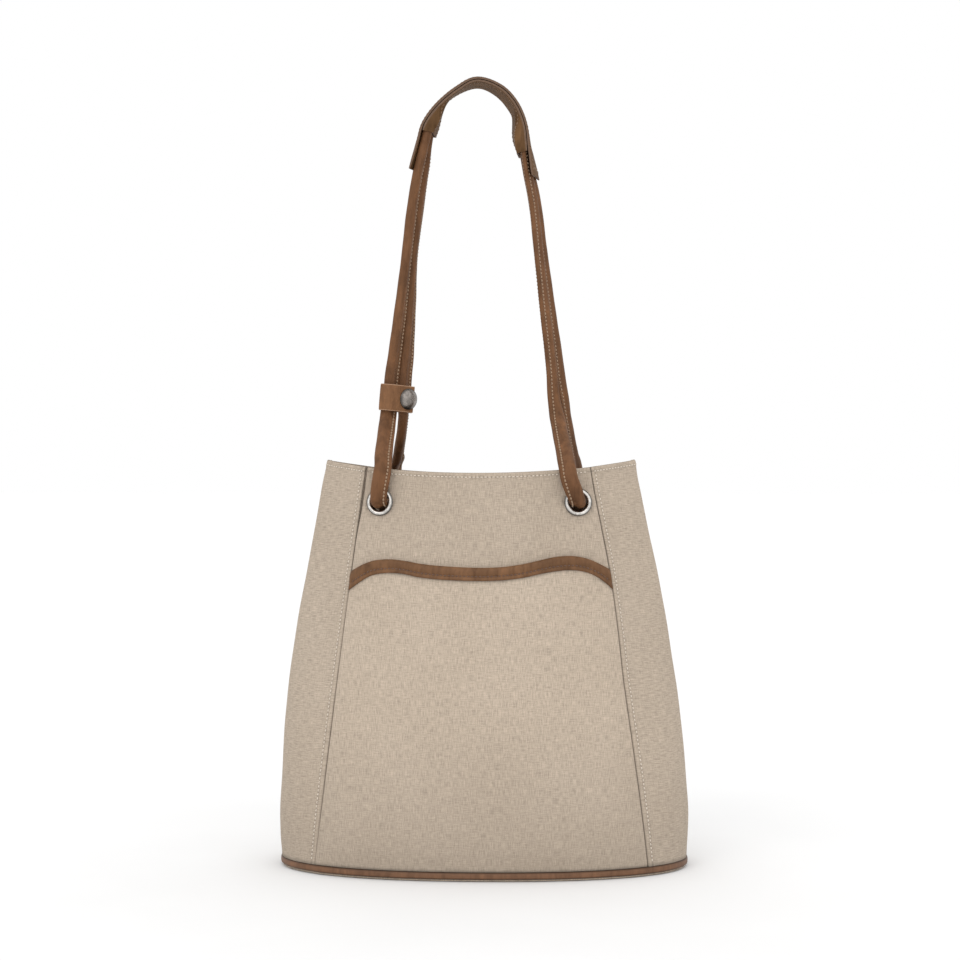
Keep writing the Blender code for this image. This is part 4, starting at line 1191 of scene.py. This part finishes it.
# ---- keeper
def keeper_points(plan, height):
    side = Vector((0, 1, 0)).cross(KEEPER_AXIS)
    plan = np.asarray(plan, float)
    return (np.array(KEEPER_CENTRE) + plan[..., :1] * np.array(side)
            + plan[..., 1:2] * np.array((0.0, 1.0, 0.0))
            + np.asarray(height)[..., None] * np.array(KEEPER_AXIS))


def keeper_strip(name, node, body, path, count, start=0.0, end=None):
    """Leather strip on edge along part of a path in the keeper's plan, with cut edges."""
    route = [(x, y, 0.0, 0.0) for x, y in path]
    centre, ahead, _, _ = along(route, count, start, end)
    normal = np.stack([ahead[:, 1], -ahead[:, 0]], -1)
    half, tall = KEEPER_LEATHER / 2, KEEPER_HALF_HEIGHT
    heights = np.concatenate([[-1, -0.945], np.linspace(-0.86, 0.86, 13), [0.945, 1]])
    belly = 0.10 * (1 - heights ** 2)
    soften = 0.22 * np.abs(heights) ** 14
    front = np.stack([half + belly - soften, heights * tall], -1)
    back = np.stack([-(half - soften)[::-1], heights[::-1] * tall], -1)
    outline = np.concatenate([front, back])
    rings = []
    for c, n in zip(centre[:, :2], normal):
        plan = c + n * outline[:, :1]
        rings.append(keeper_points(plan, outline[:, 1]))
    turn = len(front)
    marks = [0] * len(outline)
    marks[0] = marks[turn - 2] = marks[turn - 1] = marks[-1] = 1
    strip = sleeve(name, rings, sharp=45, side_material=marks)
    fit(strip, ["keeper", "raw_edge"], [node] if node else [], body)
    return strip


def make_keeper():
    facing = Vector((math.sin(SNAP_TURN), -math.cos(SNAP_TURN)))
    tab = Vector((math.cos(SNAP_TURN), math.sin(SNAP_TURN)))
    layer = KEEPER_LEATHER + SNAP_LAYER_GAP
    under = SNAP_POINT - facing * layer
    outer = [(-10.9, -11.6), (-9.4, -13.2), (-6.0, -14.0), (-2.8, -13.4),
             tuple(SNAP_POINT - tab * 7.6), tuple(SNAP_POINT), tuple(SNAP_POINT + tab * 5.0)]
    inner = [(-11.1, -10.2), (-11.2, -6.0), (-9.8, 1.0), (-6.5, 8.2), (-1.5, 13.2),
             (4.0, 14.4), (8.6, 11.8), (10.0, 7.0), (8.7, 2.6), tuple(under + tab * 2.4),
             tuple(under), tuple(under - tab * 2.0)]
    keeper_strip("keeper_strap_flap", "keeper_flap", "keeper_flap", outer, 60)
    keeper_strip("keeper_strap_band", "keeper_band", "keeper", inner, 110)
    fold = keeper_strip("keeper_strap_fold", None, None,
                        [inner[1], inner[0], outer[0], outer[1]], 24, 3.0, 7.2)
    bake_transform(fold)
    here = keeper_points(np.array([[0.0, 0.0], [facing.x, facing.y]]), np.zeros(2))
    axis = Vector(here[1] - here[0]).normalized()
    centre = Vector(keeper_points(np.array([tuple(SNAP_POINT)]), np.array([0.0]))[0])
    skin = KEEPER_LEATHER / 2
    top = skin + 0.05
    cap = [(0.01, top), (7.2, top), (7.5, top + 0.25), (7.5, top + 0.6), (7.25, top + 0.85),
           (6.95, top + 0.95), (6.75, top + 1.15), (5.9, top + 1.75), (4.6, top + 2.3),
           (3.0, top + 2.68), (1.4, top + 2.85), (0.01, top + 2.9)]
    # The cap carries painted dark reflections round its rim and a little in its middle.
    lathe_piece("snap_cap_dome", "snap_cap", cap, centre, axis, "keeper_flap", "cap", True,
                cap_painted_reflection)
    socket = [(2.6, -skin), (5.2, -skin), (5.2, -skin - 0.9), (4.8, -skin - 1.3),
              (3.2, -skin - 1.4), (2.6, -skin - 1.1)]
    lathe_piece("snap_socket_ring", "snap_socket", socket, centre, axis, "keeper_flap", "metal")
    low = -(skin + SNAP_LAYER_GAP)
    stud = [(0.01, low), (4.2, low), (4.2, low + 0.5), (3.8, low + 0.75), (1.7, low + 0.85),
            (1.5, low + 1.1), (1.7, low + 1.6), (1.3, low + 1.85), (0.01, low + 1.9)]
    lathe_piece("snap_stud_knob", "snap_stud", stud, centre, axis, "keeper", "metal", True)


# ---- camera, light and floor
def make_camera():
    data = bpy.data.cameras.new("camera")
    data.sensor_width = 36.0
    data.lens = 79.24
    camera = add_object("camera", data)
    azimuth, distance, height, aside = math.radians(2.0), 1.5, 0.2714, -0.0028
    right = Vector((math.cos(azimuth), math.sin(azimuth), 0))
    back = Vector((math.sin(azimuth), -math.cos(azimuth), 0))
    camera.location = back * distance + right * aside + Vector((0, 0, height))
    camera.rotation_euler = (math.radians(90), 0, azimuth)
    bpy.context.scene.camera = camera


def make_sun(name, toward, strength, width):
    """Soft daylight-like lamp; toward points from the bag to it, width is its angle."""
    data = bpy.data.lights.new(name, "SUN")
    data.energy = strength
    data.angle = math.radians(width)
    add_object(name, data).rotation_euler = Vector(toward).to_track_quat("Z", "Y").to_euler()


def make_studio():
    scene = bpy.context.scene
    scene.view_settings.view_transform = "Standard"
    world = bpy.data.worlds.new("studio")
    scene.world = world
    world.use_nodes = True
    backdrop = world.node_tree.nodes["Background"]
    backdrop.inputs["Color"].default_value = (1.0, 1.0, 1.0, 1.0)
    backdrop.inputs["Strength"].default_value = 1.0
    make_sun("key_sun", (-0.45, -1.6, 1.4), 0.75, 50.0)
    make_sun("fill_sun", (1.5, -1.1, 0.6), 0.25, 80.0)
    make_sun("top_sun", (0.1, 0.2, 2.0), 0.35, 80.0)
    mesh = bpy.data.meshes.new("studio_floor")
    reach, level = 40.0, -0.0003
    mesh.from_pydata([(x * reach, y * reach, level) for x, y in
                      ((-1, -1), (1, -1), (1, 1), (-1, 1))], [], [(0, 1, 2, 3)])
    floor = add_object("studio_floor", mesh)
    s = Shader("pale_floor", 0.9)
    grain = s.noise(s.place, 6.0, 2.0)
    paint(floor, s.finish(s.tones(grain, WHITE, (0.3, 0.79), (0.7, 0.81))))


make_camera()
make_studio()
make_panels()
make_insides()
make_slip_pocket()
make_pocket()
make_binding()
make_seam_stitches()
make_base()
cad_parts["base_board"].material_slots[0].material = materials["board"]
make_fittings()
make_cord("left", 1.0)
make_cord("right", -1.0)
make_pad()
make_keeper()
